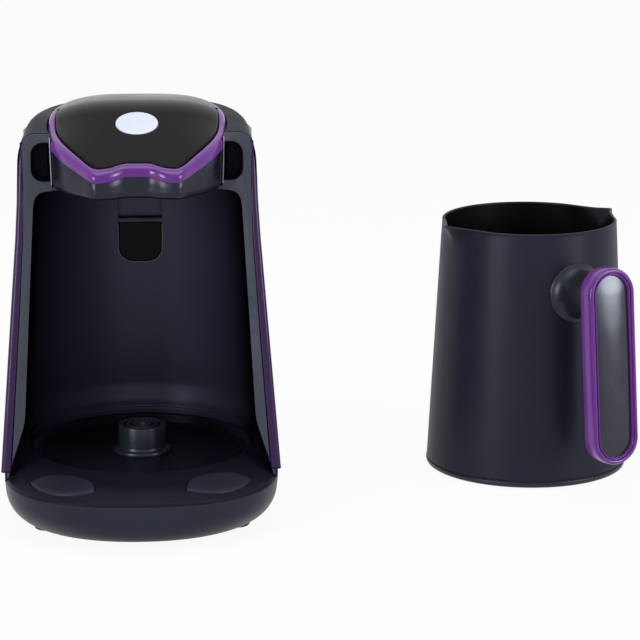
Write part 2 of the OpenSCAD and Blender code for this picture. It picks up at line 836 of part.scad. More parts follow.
// Bush in the pan's back wall for the power cord
gland_hole_r = 3.6;
gland_l = 16;
gland_back = back_reach - 0.8;   // outer face of the pan's wall at the gland's height
module cord_gland() {
    color([0.06, 0.06, 0.07]) translate([0, gland_back, gland_z]) rotate([90, 0, 0])
        rotate_extrude() polygon([[gland_hole_r, -1.2], [gland_r - 1, -1.2], [gland_r, -0.2], [gland_r, 0],
            [gland_r - gland_lip, 0], [gland_r - gland_lip, wall + 0.3], [gland_r - 1.2, wall + 0.7],
            [gland_r - 1.6, wall + 3],
            [gland_hole_r + 1.4, gland_l - 1.2], [gland_hole_r, gland_l - 1.2]]);
}

// ---------------------------------------------------------------- button

module button_cap() {
    color([0.95, 0.96, 0.98]) on_lid() difference() {
        rotate_extrude() polygon([[0, -cap_h], [button_r, -cap_h], [button_r, -0.3],
            [button_r - 0.7, 0.4], [0, 0.4]]);
        translate([0, 0, -cap_h - 1]) cylinder(r = button_r - 1.6, h = cap_h - 1);
    }
}

module button_stem() {
    color([0.85, 0.87, 0.9]) on_lid() translate([0, 0, board_z + switch_h + plunger_h]) difference() {
        cylinder(r = stem_r, h = -2 - (board_z + switch_h + plunger_h));
        translate([0, 0, -1]) cylinder(r = 1.2, h = 6);
    }
}

module switch_plunger() {
    color([0.85, 0.3, 0.12]) on_lid() translate([0, 0, board_z + switch_h + plunger_h - 3.2]) {
        cylinder(r = 1.7, h = 3.2);
        cylinder(r = 1.15, h = 5.2);
    }
}

// ---------------------------------------------------------------- jug

shell_z = foot_ring_h + 0.5 + seat_gap;
function jug_out(z) = jug_r - 0.4 - (jug_r - 0.4 - rim_r) * (z - shell_z) / (jug_h - shell_z);

// Radius inside the shell's foot, below the jug's floor
skirt_r = jug_out(jug_floor) - jug_wall - 0.4;

// Pulled lip of a spout, inset for its inside
module spout_form(inset) {
    hull() {
        translate([spout_r - 1 - inset, 0, jug_h - 2 + inset * 0.6]) cylinder(r = 1, h = 2.6);
        intersection() {
            translate([0, 0, jug_h - 2]) cylinder(r = rim_r - inset, h = 2);
            translate([rim_r - 14, -spout_w / 2 + inset, 0]) cube([20, spout_w - 2 * inset, far]);
        }
        translate([jug_out(jug_h - 22) - 4 - inset * 2, 0, jug_h - 22 + inset]) cylinder(r = 3, h = 1);
    }
}

module jug_shell() {
    color([0.2, 0.22, 0.27]) difference() {
        union() {
            translate([0, 0, shell_z]) cylinder(r1 = jug_r - 0.4, r2 = rim_r, h = jug_h - shell_z);
            for (s = [0, 180]) rotate(s) spout_form(0);
        }
        difference() {
            union() {
                translate([0, 0, jug_floor]) cylinder(r1 = jug_out(jug_floor) - jug_wall,
                    r2 = rim_r - jug_wall - 0.02, h = jug_h - jug_floor + 0.5);
                for (s = [0, 180]) rotate(s) translate([0, 0, 0.7]) spout_form(jug_wall);
            }
        }
        translate([0, 0, shell_z - 1]) cylinder(r = skirt_r, h = jug_floor - jug_wall - shell_z + 1);
    }
}

socket_r = tower_r + socket_gap;
socket_l = tower_h + 0.6;
element_r = jug_r - 17.6;
jug_screw_r = element_r - 9;
foot_t = 3.6;       // top of the foot's plate
module at_jug_screws() { for (a = [30:120:270]) rotate(a) translate([jug_screw_r, 0, 0]) children(); }

module jug_foot() {
    color([0.1, 0.1, 0.12]) {
        difference() {
            rotate_extrude() polygon([[socket_r + 2.6, 1], [jug_r - 19.6, 1], [jug_r - 18.6, 0],
                [jug_r - 11.6, 0],
                [jug_r - 10.6, 1], [jug_r - 2.5, 1],
                [jug_r - 0.6, 2.2], [jug_r, 3.8], [jug_r, foot_ring_h], [jug_r - 1.4, foot_ring_h + 0.5],
                [skirt_r - fit, foot_ring_h + 0.5], [skirt_r - fit, shell_z + 3], [skirt_r - 2.2, shell_z + 3],
                [skirt_r - 2.2, foot_t], [socket_r + 2.6, foot_t]]);
            at_jug_screws() translate([0, 0, -1]) cylinder(r = screw_head_r + 0.3, h = 3.4);
            at_jug_screws() cylinder(r = screw_r + fit, h = 20);
        }
    }
}

module foot_seal() {
    color([0.55, 0.2, 0.16]) translate([0, 0, foot_t + seat_gap]) difference() {
        cylinder(r = skirt_r - 2.2 - seat_gap, h = 4);
        translate([0, 0, -1]) cylinder(r = skirt_r - 4.2, h = 6);
    }
}

module jug_screws() {
    color([0.62, 0.63, 0.65]) at_jug_screws() translate([0, 0, 1.2])
        screw(screw_r, screw_head_r, 1.1, 12);
}

guide_l = 8.2;
module jug_socket() {
    color([0.08, 0.08, 0.09]) difference() {
        union() {
            cylinder(r = socket_r + 2.4, h = socket_l + 1.6);
            translate([0, 0, 3.7]) cylinder(r = socket_r + 6, h = 1.6);
        }
        translate([0, 0, -1]) cylinder(r = socket_r, h = socket_l + 1);
        // relief above the lip that guides the tower in
        translate([0, 0, guide_l]) cylinder(r = socket_r + 0.4, h = socket_l - guide_l);
        translate([0, 0, socket_l - 1]) for (r = groove_rs) difference() {
            cylinder(r = r + 1.35, h = 1.5);
            translate([0, 0, -1]) cylinder(r = r + 0.75, h = 5);
        }
    }
}

module socket_contacts() {
    color([0.78, 0.66, 0.42]) {
        for (r = groove_rs) translate([0, 0, socket_l - 7]) difference() {
            cylinder(r = r + 1.3, h = 7.5 - seat_gap);
            translate([0, 0, -1]) cylinder(r = r + 0.8, h = 30);
        }
        translate([0, 0, socket_l - 8]) cylinder(r = 1.2, h = 8 - seat_gap);
    }
}

plate_z = jug_floor - jug_wall - 2.1;
module heater_plate() {
    color([0.75, 0.76, 0.78]) difference() {
        union() {
            translate([0, 0, plate_z]) cylinder(r = jug_r - 9.6, h = 2);
            // pillars that the foot is screwed to
            at_jug_screws() translate([0, 0, foot_t + seat_gap]) cylinder(r = 4, h = plate_z - foot_t);
        }
        cylinder(r = socket_r + 3, h = 40);
        at_jug_screws() cylinder(r = screw_r + seat_gap, h = 14.5);
    }
}

tube_r = 3.4;
module heating_element() {
    color([0.55, 0.55, 0.56]) rotate(-70) rotate_extrude(angle = 320)
        translate([element_r, plate_z - tube_r - seat_gap]) circle(r = tube_r, $fn = 32);
}

module thermostat() {
    color([0.85, 0.82, 0.74]) rotate(215) translate([element_r - 15, 0, plate_z - 6 - seat_gap]) {
        cylinder(r = 6, h = 6);
        translate([0, 0, -2]) cylinder(r = 2, h = 2.5);
    }
}

// ---------------------------------------------------------------- handle

handle_screw_z = 5.5;

// Frame on the handle's back, +Z outwards, +Y up along the handle
module on_handle() { translate([0, -handle_r, handle_z]) rotate([90 - handle_lean, 0, 0]) children(); }

// The two screws that hold the handle to the stub
module at_handle_screws() {
    on_handle() for (s = [-1, 1])
        translate([0, (stub_z - handle_z) / cos(handle_lean) + s * handle_screw_z, 0]) children();
}

module stadium(w, l) {
    r = w / 2;
    translate([0, l / 2 - r]) circle(r = r);
    translate([0, r - l / 2]) circle(r = r);
    translate([-r, r - l / 2]) square([w, l - w]);
}

back_layer = handle_t - 5.5;
module handle_shell() {
    color([0.1, 0.1, 0.12]) difference() {
        on_handle() union() {
            linear_extrude(back_layer) stadium(handle_w - 1, handle_l - 1);
            translate([0, 0, 2]) linear_extrude(back_layer - 2) stadium(handle_w, handle_l);
        }
        on_handle() translate([0, 0, back_layer - 2.4]) linear_extrude(5) stadium(handle_w - 9, handle_l - 9);
        at_handle_screws() translate([0, 0, -1]) cylinder(r = screw_r + fit, h = 12);
    }
}

module handle_trim() {
    color([0.46, 0.2, 0.6]) on_handle() translate([0, 0, back_layer + seat_gap]) difference() {
        linear_extrude(5.5 - seat_gap) stadium(handle_w, handle_l);
        translate([0, 0, -1]) linear_extrude(9)
            stadium(handle_w - 2 * handle_trim_w, handle_l - 2 * handle_trim_w);
    }
}

module handle_face() {
    color([0.05, 0.05, 0.06]) on_handle() translate([0, 0, back_layer + seat_gap])
        linear_extrude(5) stadium(handle_w - 2 * handle_trim_w - 0.3, handle_l - 2 * handle_trim_w - 0.3);
}

// Flared stub between the jug's wall and the handle's back
module handle_bracket() {
    wall_at = jug_out(stub_z);
    back_at = handle_r - (stub_z - handle_z) * tan(handle_lean);
    color([0.12, 0.12, 0.14]) difference() {
        intersection() {
            translate([0, 0, stub_z]) rotate([90, 0, 0]) rotate_extrude() polygon(concat(
                [[0, wall_at - 8], [stub_r + 5, wall_at - 8], [stub_r + 5, wall_at - 0.5]],
                [for (t = [0:15:90]) [stub_r + 4.6 * (1 - sin(t)), wall_at + 0.4 + 9 * (1 - cos(t))]],
                [[stub_r, back_at + 12], [0, back_at + 12]]));
            on_handle() translate([-far / 2, -far / 2, -far - seat_gap]) cube([far, far, far]);
        }
        translate([0, 0, shell_z])
            cylinder(r1 = jug_r - 0.4 + seat_gap, r2 = rim_r + seat_gap, h = jug_h - shell_z);
        at_handle_screws() translate([0, 0, -11]) cylinder(r = screw_r + seat_gap, h = 20);
    }
}

module handle_screws() {
    color([0.62, 0.63, 0.65]) at_handle_screws() translate([0, 0, back_layer - 2.3 + 1.6]) rotate([180, 0, 0])
        screw(screw_r, 2.9, 1.6, 17);
}

// ---------------------------------------------------------------- layout

jug_x = house_w / 2 + jug_apart + jug_r;
set_x = (jug_x + jug_r - house_w / 2) / 2;
set_y = (jug_behind + jug_r - base_reach) / 2;

module stand() { translate([-set_x, -set_y, 0]) children(); }
module jug() { translate([jug_x - set_x, jug_behind - set_y, 0]) rotate(jug_turn) children(); }

stand() base_pan();
stand() rubber_feet();
stand() base_screws();
stand() base_deck();
stand() connector_tower();
stand() tower_contacts();
stand() tower_lock_ring();
stand() bay_liner();
stand() rear_shell();
stand() side_panel_left();
stand() side_panel_right();
stand() head_housing();
stand() trim_ring();
stand() lid_panel();
stand() sensor_window();
stand() sensor_board();
stand() control_board();
stand() board_screws();
stand() switch_body();
stand() status_led();
stand() buzzer();
stand() power_board();
stand() relay();
stand() transformer();
stand() cord_gland();
stand() button_cap();
stand() button_stem();
stand() switch_plunger();
jug() jug_shell();
jug() jug_foot();
jug() jug_socket();
jug() socket_contacts();
jug() heater_plate();
jug() heating_element();
jug() thermostat();
jug() foot_seal();
jug() jug_screws();
jug() handle_bracket();
jug() handle_shell();
jug() handle_trim();
jug() handle_face();
jug() handle_screws();
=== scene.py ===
"""Electric coffee maker of the Turkish kind: a stand with an open brewing bay under a
push-button head, and the lift-off jug that is set down beside it."""

import math

import bmesh
import bpy
import numpy as np
from mathutils import Matrix, Vector


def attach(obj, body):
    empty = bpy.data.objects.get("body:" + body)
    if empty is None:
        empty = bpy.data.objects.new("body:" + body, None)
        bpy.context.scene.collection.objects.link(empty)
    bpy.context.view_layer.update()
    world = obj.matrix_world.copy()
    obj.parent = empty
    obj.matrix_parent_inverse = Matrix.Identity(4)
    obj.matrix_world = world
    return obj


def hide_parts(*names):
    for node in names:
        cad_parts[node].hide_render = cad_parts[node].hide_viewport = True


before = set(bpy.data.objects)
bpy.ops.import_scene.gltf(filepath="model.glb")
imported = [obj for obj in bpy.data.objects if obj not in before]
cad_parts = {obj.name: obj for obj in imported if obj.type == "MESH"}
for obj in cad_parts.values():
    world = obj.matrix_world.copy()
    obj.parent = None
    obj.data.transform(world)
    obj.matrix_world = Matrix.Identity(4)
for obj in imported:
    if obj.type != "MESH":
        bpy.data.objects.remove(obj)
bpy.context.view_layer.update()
scene = bpy.context.scene
scene.view_settings.view_transform = "Standard"

# ------------------------ camera, floor and light
# A long lens looks a little down on the set from its front. The floor and the world show
# white to the camera and in reflections, and the lamps are three large soft boxes and a narrow one.
def placed(name, data):
    """A new object in the scene."""
    obj = bpy.data.objects.new(name, data)
    scene.collection.objects.link(obj)
    return obj


scene.camera = camera = placed("camera", bpy.data.cameras.new("camera"))
camera.data.lens, camera.data.sensor_width = 153, 36
camera.location = (-0.0856, -1.5128, 0.460)
camera.rotation_euler = (math.radians(76.71), 0, math.radians(-3.12))


def feed(tree, made, *fed, **named):
    """Sets a node's inputs, in order or by name, from sockets or plain values. A name in small
    letters is one of the node's own settings."""
    for name, value in named.items():
        if name.islower():
            setattr(made, name, value)
    by_name = [(name.replace("_", " "), value) for name, value in named.items() if not name.islower()]
    for key, value in [*enumerate(fed), *by_name]:
        if isinstance(value, bpy.types.NodeSocket):
            tree.links.new(value, made.inputs[key])
        else:
            made.inputs[key].default_value = value
    return made


def node(tree, kind, *fed, **named):
    """A new node in the tree, fed in the same way."""
    return feed(tree, tree.nodes.new(kind), *fed, **named)


def seen_directly(tree):
    """One for camera, glossy and transmission rays, nought for the rest."""
    rays = node(tree, "ShaderNodeLightPath").outputs
    total = rays["Is Camera Ray"]
    for name in ("Is Glossy Ray", "Is Transmission Ray"):
        total = node(tree, "ShaderNodeMath", total, rays[name], operation="ADD", use_clamp=True).outputs[0]
    return total


world = bpy.data.worlds.new("studio")
scene.world = world
world.use_nodes = True
sky = world.node_tree
sky.nodes.clear()
soft = node(sky, "ShaderNodeBackground", Color=(0.93, 0.94, 1.0, 1), Strength=0.5)
white = node(sky, "ShaderNodeBackground", Color=(1, 1, 1, 1), Strength=1.0)
sky_mix = node(sky, "ShaderNodeMixShader", seen_directly(sky), soft.outputs[0], white.outputs[0])
node(sky, "ShaderNodeOutputWorld", sky_mix.outputs[0])

FLOOR_GLOW = 0.93
floor = placed("floor", bpy.data.meshes.new("floor"))
floor.data.from_pydata([(-6, -6, 0), (6, -6, 0), (6, 6, 0), (-6, 6, 0)], [], [(0, 1, 2, 3)])
floor_paint = bpy.data.materials.new("floor_paper")
floor_paint.use_nodes = True
tree = floor_paint.node_tree
paper = feed(tree, tree.nodes["Principled BSDF"], Base_Color=(0.86, 0.86, 0.87, 1), Roughness=0.9,
             Specular_IOR_Level=0.1)
glow = node(tree, "ShaderNodeEmission", Color=(1, 1, 1, 1), Strength=1.0)
share = node(tree, "ShaderNodeMath", seen_directly(tree), FLOOR_GLOW, operation="MULTIPLY")
paper_mix = node(tree, "ShaderNodeMixShader", share.outputs[0], paper.outputs[0], glow.outputs[0])
feed(tree, tree.nodes["Material Output"], paper_mix.outputs[0])
floor.data.materials.append(floor_paint)

LAMP_AIM = Vector((0, 0.02, 0.1))
for name, place, size, watts in (("key", (-1.3, -1.2, 0.44), (0.6, 0.8), 17),
                                 ("fill", (1.35, -1.2, 0.7), (0.6, 1.2), 7),
                                 ("edge", (1.42, -0.80, 0.36), (0.3, 0.5), 8),
                                 ("top", (0.0, -0.15, 1.5), (1.2, 0.8), 8)):
    lamp = placed(name, bpy.data.lights.new(name, "AREA"))
    lamp.data.shape, lamp.data.size, lamp.data.size_y = "RECTANGLE", *size
    lamp.data.energy = watts
    lamp.location = place
    lamp.rotation_euler = (LAMP_AIM - Vector(place)).to_track_quat("-Z", "Y").to_euler()

# ------------------------ base pan
# Injection-moulded bowl of the stand in satin slate-black plastic. It carries the feet, the
# screws and the cord bush, and the deck sits on its rim at the seam.
HOUSE_A, BASE_FRONT, BASE_BACK, PLAN_Y = 76.5, 101, 85, -25
BACK_N, WALL = 2.9, 2.4
SEAT_AXIS = (-105.6, -12.8, 0)
PAN_SIDE = [(27, 0, 2.5), (24, -0.1, 2.5), (19, -0.6, 2.5), (15, -1.5, 2.45), (11.5, -2.9, 2.35),
            (8.6, -4.6, 2.25), (6.2, -7.0, 2.2), (4.6, -9.4, 2.15), (4, -12.5, 2.15)]
BOSSES = [(-44, -58), (44, -58), (-52, 38), (52, 38)]
FEET = [(-52, -48), (52, -48), (-50, 56), (50, 56)]
FOOT_BORE, BOSS_BORE = (6.9, 0, 7.9), (3.7, 0, 7.8)
VENT_R, VENT_PITCH, VENT_FRONT, VENT_BACK = 1.5, 8, 18, 52


def in_stand(points):
    """Millimetres in the stand's own frame, seat axis at 0, to metres in the row frame."""
    return (np.asarray(points, float) + SEAT_AXIS) * 0.001


def through(points, steps):
    """A smooth line through the points, with that many steps between two of them."""
    p = np.asarray(points, float)
    p = np.vstack([2 * p[0] - p[1], p, 2 * p[-1] - p[-2]])
    t = np.linspace(0, 1, steps, endpoint=False)[:, None]
    spans = [0.5 * (2 * b + (c - a) * t + (2 * a - 5 * b + 4 * c - d) * t**2
                    + (3 * b - a - 3 * c + d) * t**3)
             for a, b, c, d in zip(p[:-3], p[1:-2], p[2:-1], p[3:])]
    return np.vstack(spans + [p[-2:-1]])


def rows(*columns):
    """Points from their coordinates, each a line of numbers or one number for them all."""
    return np.column_stack(np.broadcast_arrays(*columns))


def full_turn(count, start=0.0):
    """Angles of a full turn in equal steps."""
    return np.linspace(start, start + 2 * math.pi, count, endpoint=False)


def level(xy, z):
    """Points of a plan line at height z."""
    return np.column_stack([xy, np.full(len(xy), z)])


def oval(t, a, front, back, n_front, n_back, middle=PLAN_Y):
    """Superellipse at angles t, half width a, that reaches front ahead of 0 and back behind it."""
    c, s = np.cos(t), np.sin(t)
    n = np.where(s > 0, n_back, n_front)
    x = a * np.sign(c) * np.abs(c) ** (2 / n)
    y = np.where(s > 0, back - middle, front + middle) * np.sign(s) * np.abs(s) ** (2 / n) + middle
    return rows(x, y)


def base_ring(z, grow=0.0, n=2.5):
    """Outline of the base at height z, grown by grow."""
    return level(oval(full_turn(128), HOUSE_A + grow, BASE_FRONT + grow, BASE_BACK + grow, n, BACK_N), z)


def circle(radius, z, count=128, centre=(0, 0)):
    """Level ring of points round a centre."""
    t = full_turn(count)
    return level(radius * rows(np.cos(t), np.sin(t)) + centre, z)


def smooth(mesh, sharp):
    """Shades the mesh smooth, but for edges past the angle sharp."""
    mesh.polygons.foreach_set("use_smooth", [True] * len(mesh.polygons))
    mesh.set_sharp_from_angle(angle=math.radians(sharp))


def new_object(name, bm, sharp):
    """Object from a bmesh, shaded smooth but for edges past the angle sharp."""
    mesh = bpy.data.meshes.new(name)
    bm.to_mesh(mesh)
    bm.free()
    smooth(mesh, sharp)
    return placed(name, mesh)


def piece(name, mesh_parts, seat=in_stand, sharp=35, closed=True):
    """Object from (points, faces) parts, with doubles merged and faces turned outwards."""
    bm = bmesh.new()
    for points, faces in mesh_parts:
        made = [bm.verts.new(p) for p in seat(points)]
        for f in faces:
            corners = [made[i] for i in dict.fromkeys(f)]
            if len(corners) > 2 and not bm.faces.get(corners):
                bm.faces.new(corners)
    bmesh.ops.remove_doubles(bm, verts=bm.verts, dist=2e-6)
    bmesh.ops.dissolve_degenerate(bm, dist=1e-6, edges=bm.edges)
    if closed:
        bmesh.ops.recalc_face_normals(bm, faces=bm.faces)
    return new_object(name, bm, sharp)


def loft(rings, loop=True, ends=False):
    """(points, faces) of a skin over rings of equal length; ends closes the first and last ring."""
    rings = [np.asarray(r, float) for r in rings]
    n, m = len(rings[0]), len(rings)
    faces = []
    for j in range(m - 1):
        for i in range(n if loop else n - 1):
            k = (i + 1) % n
            faces.append((j * n + i, j * n + k, (j + 1) * n + k, (j + 1) * n + i))
    if ends:
        faces += [tuple(range(n))[::-1], tuple(range((m - 1) * n, m * n))]
    return np.vstack(rings), faces


def settle(obj, sharp=35):
    """Applies the object's modifiers to its mesh."""
    bpy.context.view_layer.update()
    baked = bpy.data.meshes.new_from_object(obj.evaluated_get(bpy.context.evaluated_depsgraph_get()))
    obj.modifiers.clear()
    obj.data = baked
    smooth(baked, sharp)
    return obj


def altered(obj, kind, sharp=35, **settings):
    """The object with one modifier put on it and applied."""
    added = obj.modifiers.new(kind.lower(), kind)
    for name, value in settings.items():
        setattr(added, name, value)
    return settle(obj, sharp)


def carve(obj, parts, sharp=35, seat=in_stand):
    """Cuts closed (points, faces) parts out of obj."""
    cutter = piece("cutter", parts, seat)
    altered(obj, "BOOLEAN", sharp, object=cutter, operation="DIFFERENCE", solver="EXACT")
    bpy.data.objects.remove(cutter)
    return obj


def rod(radius, z0, z1, centre, count=40):
    """(points, faces) of an upright round bar."""
    return loft([circle(radius, z0, count, centre), circle(radius, z1, count, centre)], ends=True)


def node_group(name, kind, *sockets):
    """Node group with (label, way, type, default) sockets, and its start and end nodes."""
    made = bpy.data.node_groups.new(name, kind)
    for label, way, sort, *default in sockets:
        socket = made.interface.new_socket(label, in_out=way, socket_type="NodeSocket" + sort)
        if default:
            socket.default_value = default[0]
    return made, made.nodes.new("NodeGroupInput"), made.nodes.new("NodeGroupOutput")


# Fine moulded grain: a bump height and a faint unevenness of colour, in object space
grain, g_in, g_out = node_group("moulded_grain", "ShaderNodeTree", ("Size", "INPUT", "Float", 900.0),
                                ("Unevenness", "INPUT", "Float", 0.1), ("Height", "OUTPUT", "Float"),
                                ("Tone", "OUTPUT", "Float"))
g_where = node(grain, "ShaderNodeTexCoord").outputs["Object"]
g_fine = node(grain, "ShaderNodeTexNoise", Vector=g_where, Scale=g_in.outputs["Size"], Detail=3.0,
              Roughness=0.6)
g_broad = node(grain, "ShaderNodeTexNoise", Vector=g_where, Scale=38.0, Detail=4.0, Roughness=0.55)
g_low, g_high = (node(grain, "ShaderNodeMath", 1.0, g_in.outputs["Unevenness"], operation=way).outputs[0]
                 for way in ("SUBTRACT", "ADD"))
g_range = node(grain, "ShaderNodeMapRange", Value=g_broad.outputs["Fac"], From_Min=0.3, From_Max=0.7,
               To_Min=g_low, To_Max=g_high)
feed(grain, g_out, Height=g_fine.outputs["Fac"], Tone=g_range.outputs[0])

# Handling wear: paler convex edges, broken up by noise
wear, w_in, w_out = node_group("edge_wear", "ShaderNodeTree", ("Amount", "INPUT", "Float", 0.4),
                               ("Mask", "OUTPUT", "Float"))
w_shape = node(wear, "ShaderNodeNewGeometry").outputs["Pointiness"]
w_where = node(wear, "ShaderNodeTexCoord").outputs["Object"]
w_noise = node(wear, "ShaderNodeTexNoise", Vector=w_where, Scale=160.0, Detail=5.0)
w_mask = w_in.outputs["Amount"]
for value, low, high in ((w_shape, 0.53, 0.62), (w_noise.outputs["Fac"], 0.4, 0.65)):
    w_range = node(wear, "ShaderNodeMapRange", Value=value, From_Min=low, From_Max=high)
    w_mask = node(wear, "ShaderNodeMath", w_mask, w_range.outputs[0], operation="MULTIPLY").outputs[0]
feed(wear, w_out, Mask=w_mask)


def moulding(name, colour, rough, size=900.0, depth=0.00003, uneven=0.12, worn=0.35, coat=0.0,
             spread=0.06, metal=0.0, shine=0.3, cast=(0.8, 0.85, 1.0)):
    """Material of a moulded or turned part: grain, uneven tone and sheen, and worn edges."""
    made = bpy.data.materials.new(name)
    made.use_nodes = True
    tree = made.node_tree
    skin = node(tree, "ShaderNodeGroup", node_tree=grain, Size=size, Unevenness=uneven).outputs
    rub = node(tree, "ShaderNodeGroup", node_tree=wear, Amount=worn)
    toned = node(tree, "ShaderNodeVectorMath", colour, operation="SCALE", Scale=skin["Tone"])
    paler = node(tree, "ShaderNodeMix", data_type="RGBA", Factor=rub.outputs["Mask"], A=toned.outputs[0],
                 B=(*[min(1, c * 1.6 + 0.02) for c in colour], 1))
    sheen = node(tree, "ShaderNodeMapRange", Value=skin["Tone"], From_Min=1 - uneven, From_Max=1 + uneven,
                 To_Min=rough - spread, To_Max=rough + spread)
    bump = node(tree, "ShaderNodeBump", Strength=0.6, Distance=depth, Height=skin["Height"])
    feed(tree, tree.nodes["Principled BSDF"], Base_Color=paler.outputs["Result"], Metallic=metal,
         Roughness=sheen.outputs[0], Normal=bump.outputs["Normal"], Coat_Weight=coat, Coat_Roughness=0.06,
         Specular_IOR_Level=0.5 if metal else shine, Specular_Tint=(1, 1, 1, 1) if metal else (*cast, 1))
    return made


def paint(obj, *materials):
    """Gives the object these materials, in place of any it has."""
    slots = obj.data.materials
    for i, material in enumerate(materials):
        if i < len(slots):
            slots[i] = material
        else:
            slots.append(material)
    while len(slots) > len(materials):
        slots.pop()
    return obj


slate = moulding("slate_plastic", (0.016, 0.017, 0.0275), 0.4, depth=0.00004, shine=0.14)
pan_rings = [np.array([[0, PLAN_Y, 8.0]] * 128)]
pan_rings += [base_ring(*ring) for ring in ((8, -40, 2.15), (8, -12, 2.15), (12, -5.4, 2.3), (26.9, -WALL),
                                            (26.95, -0.35), (26.8, -0.06))]
pan_rings += [base_ring(z, g, n) for z, g, n in through(PAN_SIDE, 3)[1:]]
pan_rings += [base_ring(4, -30, 2.15), np.array([[0, PLAN_Y, 4.0]] * 128)]
pan = piece("pan_bowl", [loft(pan_rings)], sharp=40)
cutters = [rod(*FOOT_BORE, f) for f in FEET] + [rod(*BOSS_BORE, b) for b in BOSSES]
t = full_turn(24, 0.01)
for i in range(-3, 4):
    vent = rows(VENT_PITCH * i + VENT_R * np.cos(t),
                np.where(np.sin(t) > 0, VENT_BACK, VENT_FRONT) + VENT_R * np.sin(t))
    cutters.append(loft([level(vent, 0), level(vent, 12)], ends=True))
carve(pan, cutters)
paint(pan, slate)
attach(pan, "stand")
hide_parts("base_pan")

# ------------------------ rubber feet and base screws
# Four moulded rubber feet pressed into sockets of the pan, and four cross-head screws that
# pull the pan to the deck and the liner from below. Each is set out by a node tree of its own.
FOOT_PROFILE = [(0, 0), (6.4, 0), (7.4, 0.25), (7.9, 1.0), (7.95, 2.0), (7.95, 3.2), (7.6, 3.55),
                (6.6, 3.6), (6.6, 7.9), (0, 7.9)]


def lathe(profile, count=96):
    """(points, faces) of a turned shape about Z from (radius, height) pairs."""
    return loft([circle(r, z, count) for r, z in profile])


def set_out(name, pattern, places, material, body, turn=0.0):
    """Repeats the pattern, in metres about its own origin and turned about X, at places in the row frame."""
    obj = placed(name, bpy.data.meshes.new(name))
    obj.data.from_pydata([tuple(p) for p in places], [], [])
    nodes, start, end = node_group(
        name + "_layout", "GeometryNodeTree", ("Places", "INPUT", "Geometry"), ("Pattern", "INPUT", "Object"),
        ("Turn", "INPUT", "Vector"), ("Finish", "INPUT", "Material"), ("Pieces", "OUTPUT", "Geometry"))
    given = start.outputs
    info = node(nodes, "GeometryNodeObjectInfo", Object=given["Pattern"])
    to_turn = node(nodes, "FunctionNodeEulerToRotation", given["Turn"])
    each = node(nodes, "GeometryNodeInstanceOnPoints", Points=given["Places"], Rotation=to_turn.outputs[0],
                Instance=info.outputs["Geometry"])
    real = node(nodes, "GeometryNodeRealizeInstances", each.outputs[0])
    finish = node(nodes, "GeometryNodeSetMaterial", Geometry=real.outputs[0], Material=given["Finish"])
    feed(nodes, end, Pieces=finish.outputs[0])
    layout = obj.modifiers.new("layout", "NODES")
    layout.node_group = nodes
    ids = {s.name: s.identifier for s in nodes.interface.items_tree if s.in_out == "INPUT"}
    layout[ids["Pattern"]], layout[ids["Turn"]], layout[ids["Finish"]] = pattern, (turn, 0, 0), material
    settle(obj)
    paint(obj, material)
    bpy.data.objects.remove(pattern)
    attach(obj, body)
    return obj


def own(points):
    """Millimetres about the piece's own origin, to metres."""
    return np.asarray(points, float) * 0.001


rubber = moulding("foot_rubber", (0.012, 0.012, 0.013), 0.72, size=1400.0, depth=0.00006, worn=0.2)
feet = set_out("feet_rubber", piece("foot", [lathe(FOOT_PROFILE, 56)], own, sharp=50),
               in_stand([(x, y, 0) for x, y in FEET]), rubber, "stand")
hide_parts("rubber_feet")

steel = moulding("screw_steel", (0.55, 0.56, 0.58), 0.3, size=2400.0, depth=0.00001, worn=0.2, metal=1.0)


def screw(name, radius, head_r, head_h, length):
    """Cross-head screw standing on its head's outer face, which is at Z = 0."""
    profile = [(0, 0), (head_r - 0.5, 0), (head_r - 0.15, 0.12), (head_r, 0.5), (head_r, head_h),
               (radius, head_h), (radius, length - radius), (0, length)]
    made = piece(name, [lathe(profile, 32)], own, sharp=40)
    reach, half = head_r * 0.6, 0.35
    for c, s in ((1, 0), (0, 1)):
        bar = [(x * c - y * s, x * s + y * c)
               for x, y in ((-reach, -half), (reach, -half), (reach, half), (-reach, half))]
        carve(made, [loft([level(bar, -1), level(bar, head_h * 0.6)], ends=True)], 40, own)
    return made


base_screws = set_out("base_fixings", screw("base_screw", 1.5, 3.2, 2.2, 20.2),
                      in_stand([(x, y, 9.8) for x, y in BOSSES]), steel, "stand")
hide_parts("base_screws")

# ------------------------ deck
# Moulded top of the base: it domes up from the seam to the round seat of the jug. Two
# leaf-shaped pads stand 0.8 mm proud of its slope, each inside a fine shadow groove.
SEAT_R, SEAT_Z, DECK_Z = 61, 30, 35
DOME = [(27.06, 0, 2.5), (27.7, -0.12, 2.5), (28.5, -0.75, 2.48), (29.3, -2.0, 2.44), (30.9, -4.6, 2.36),
        (32.6, -7.6, 2.26), (34.0, -10.6, 2.16), (34.8, -13.6, 2.1), (35.0, -17.2, 2.1)]
LEAF_C, LEAF_TURN, LEAF_L, LEAF_IN, LEAF_OUT, LEAF_STEPS = (42.5, -79.0), 32, 41.4, 12, 8, 24


def dome_z(x, y):
    """Height of the deck at a point of its plan."""
    best = np.full(np.shape(x), DECK_Z)
    for (z0, g0, n0), (z1, g1, n1) in zip(DOME_LINE[:-1], DOME_LINE[1:]):
        inside = [((np.abs(x) / (HOUSE_A + g)) ** n
                   + (np.abs(y - PLAN_Y) / (BASE_FRONT + PLAN_Y + g)) ** n) ** (1 / n) - 1
                  for g, n in ((g0, n0), (g1, n1))]
        here = (inside[0] <= 0) & (inside[1] > 0)
        share = inside[0] / np.minimum(inside[0] - inside[1], -1e-9)
        best = np.where(here, z0 + (z1 - z0) * share, best)
    return best


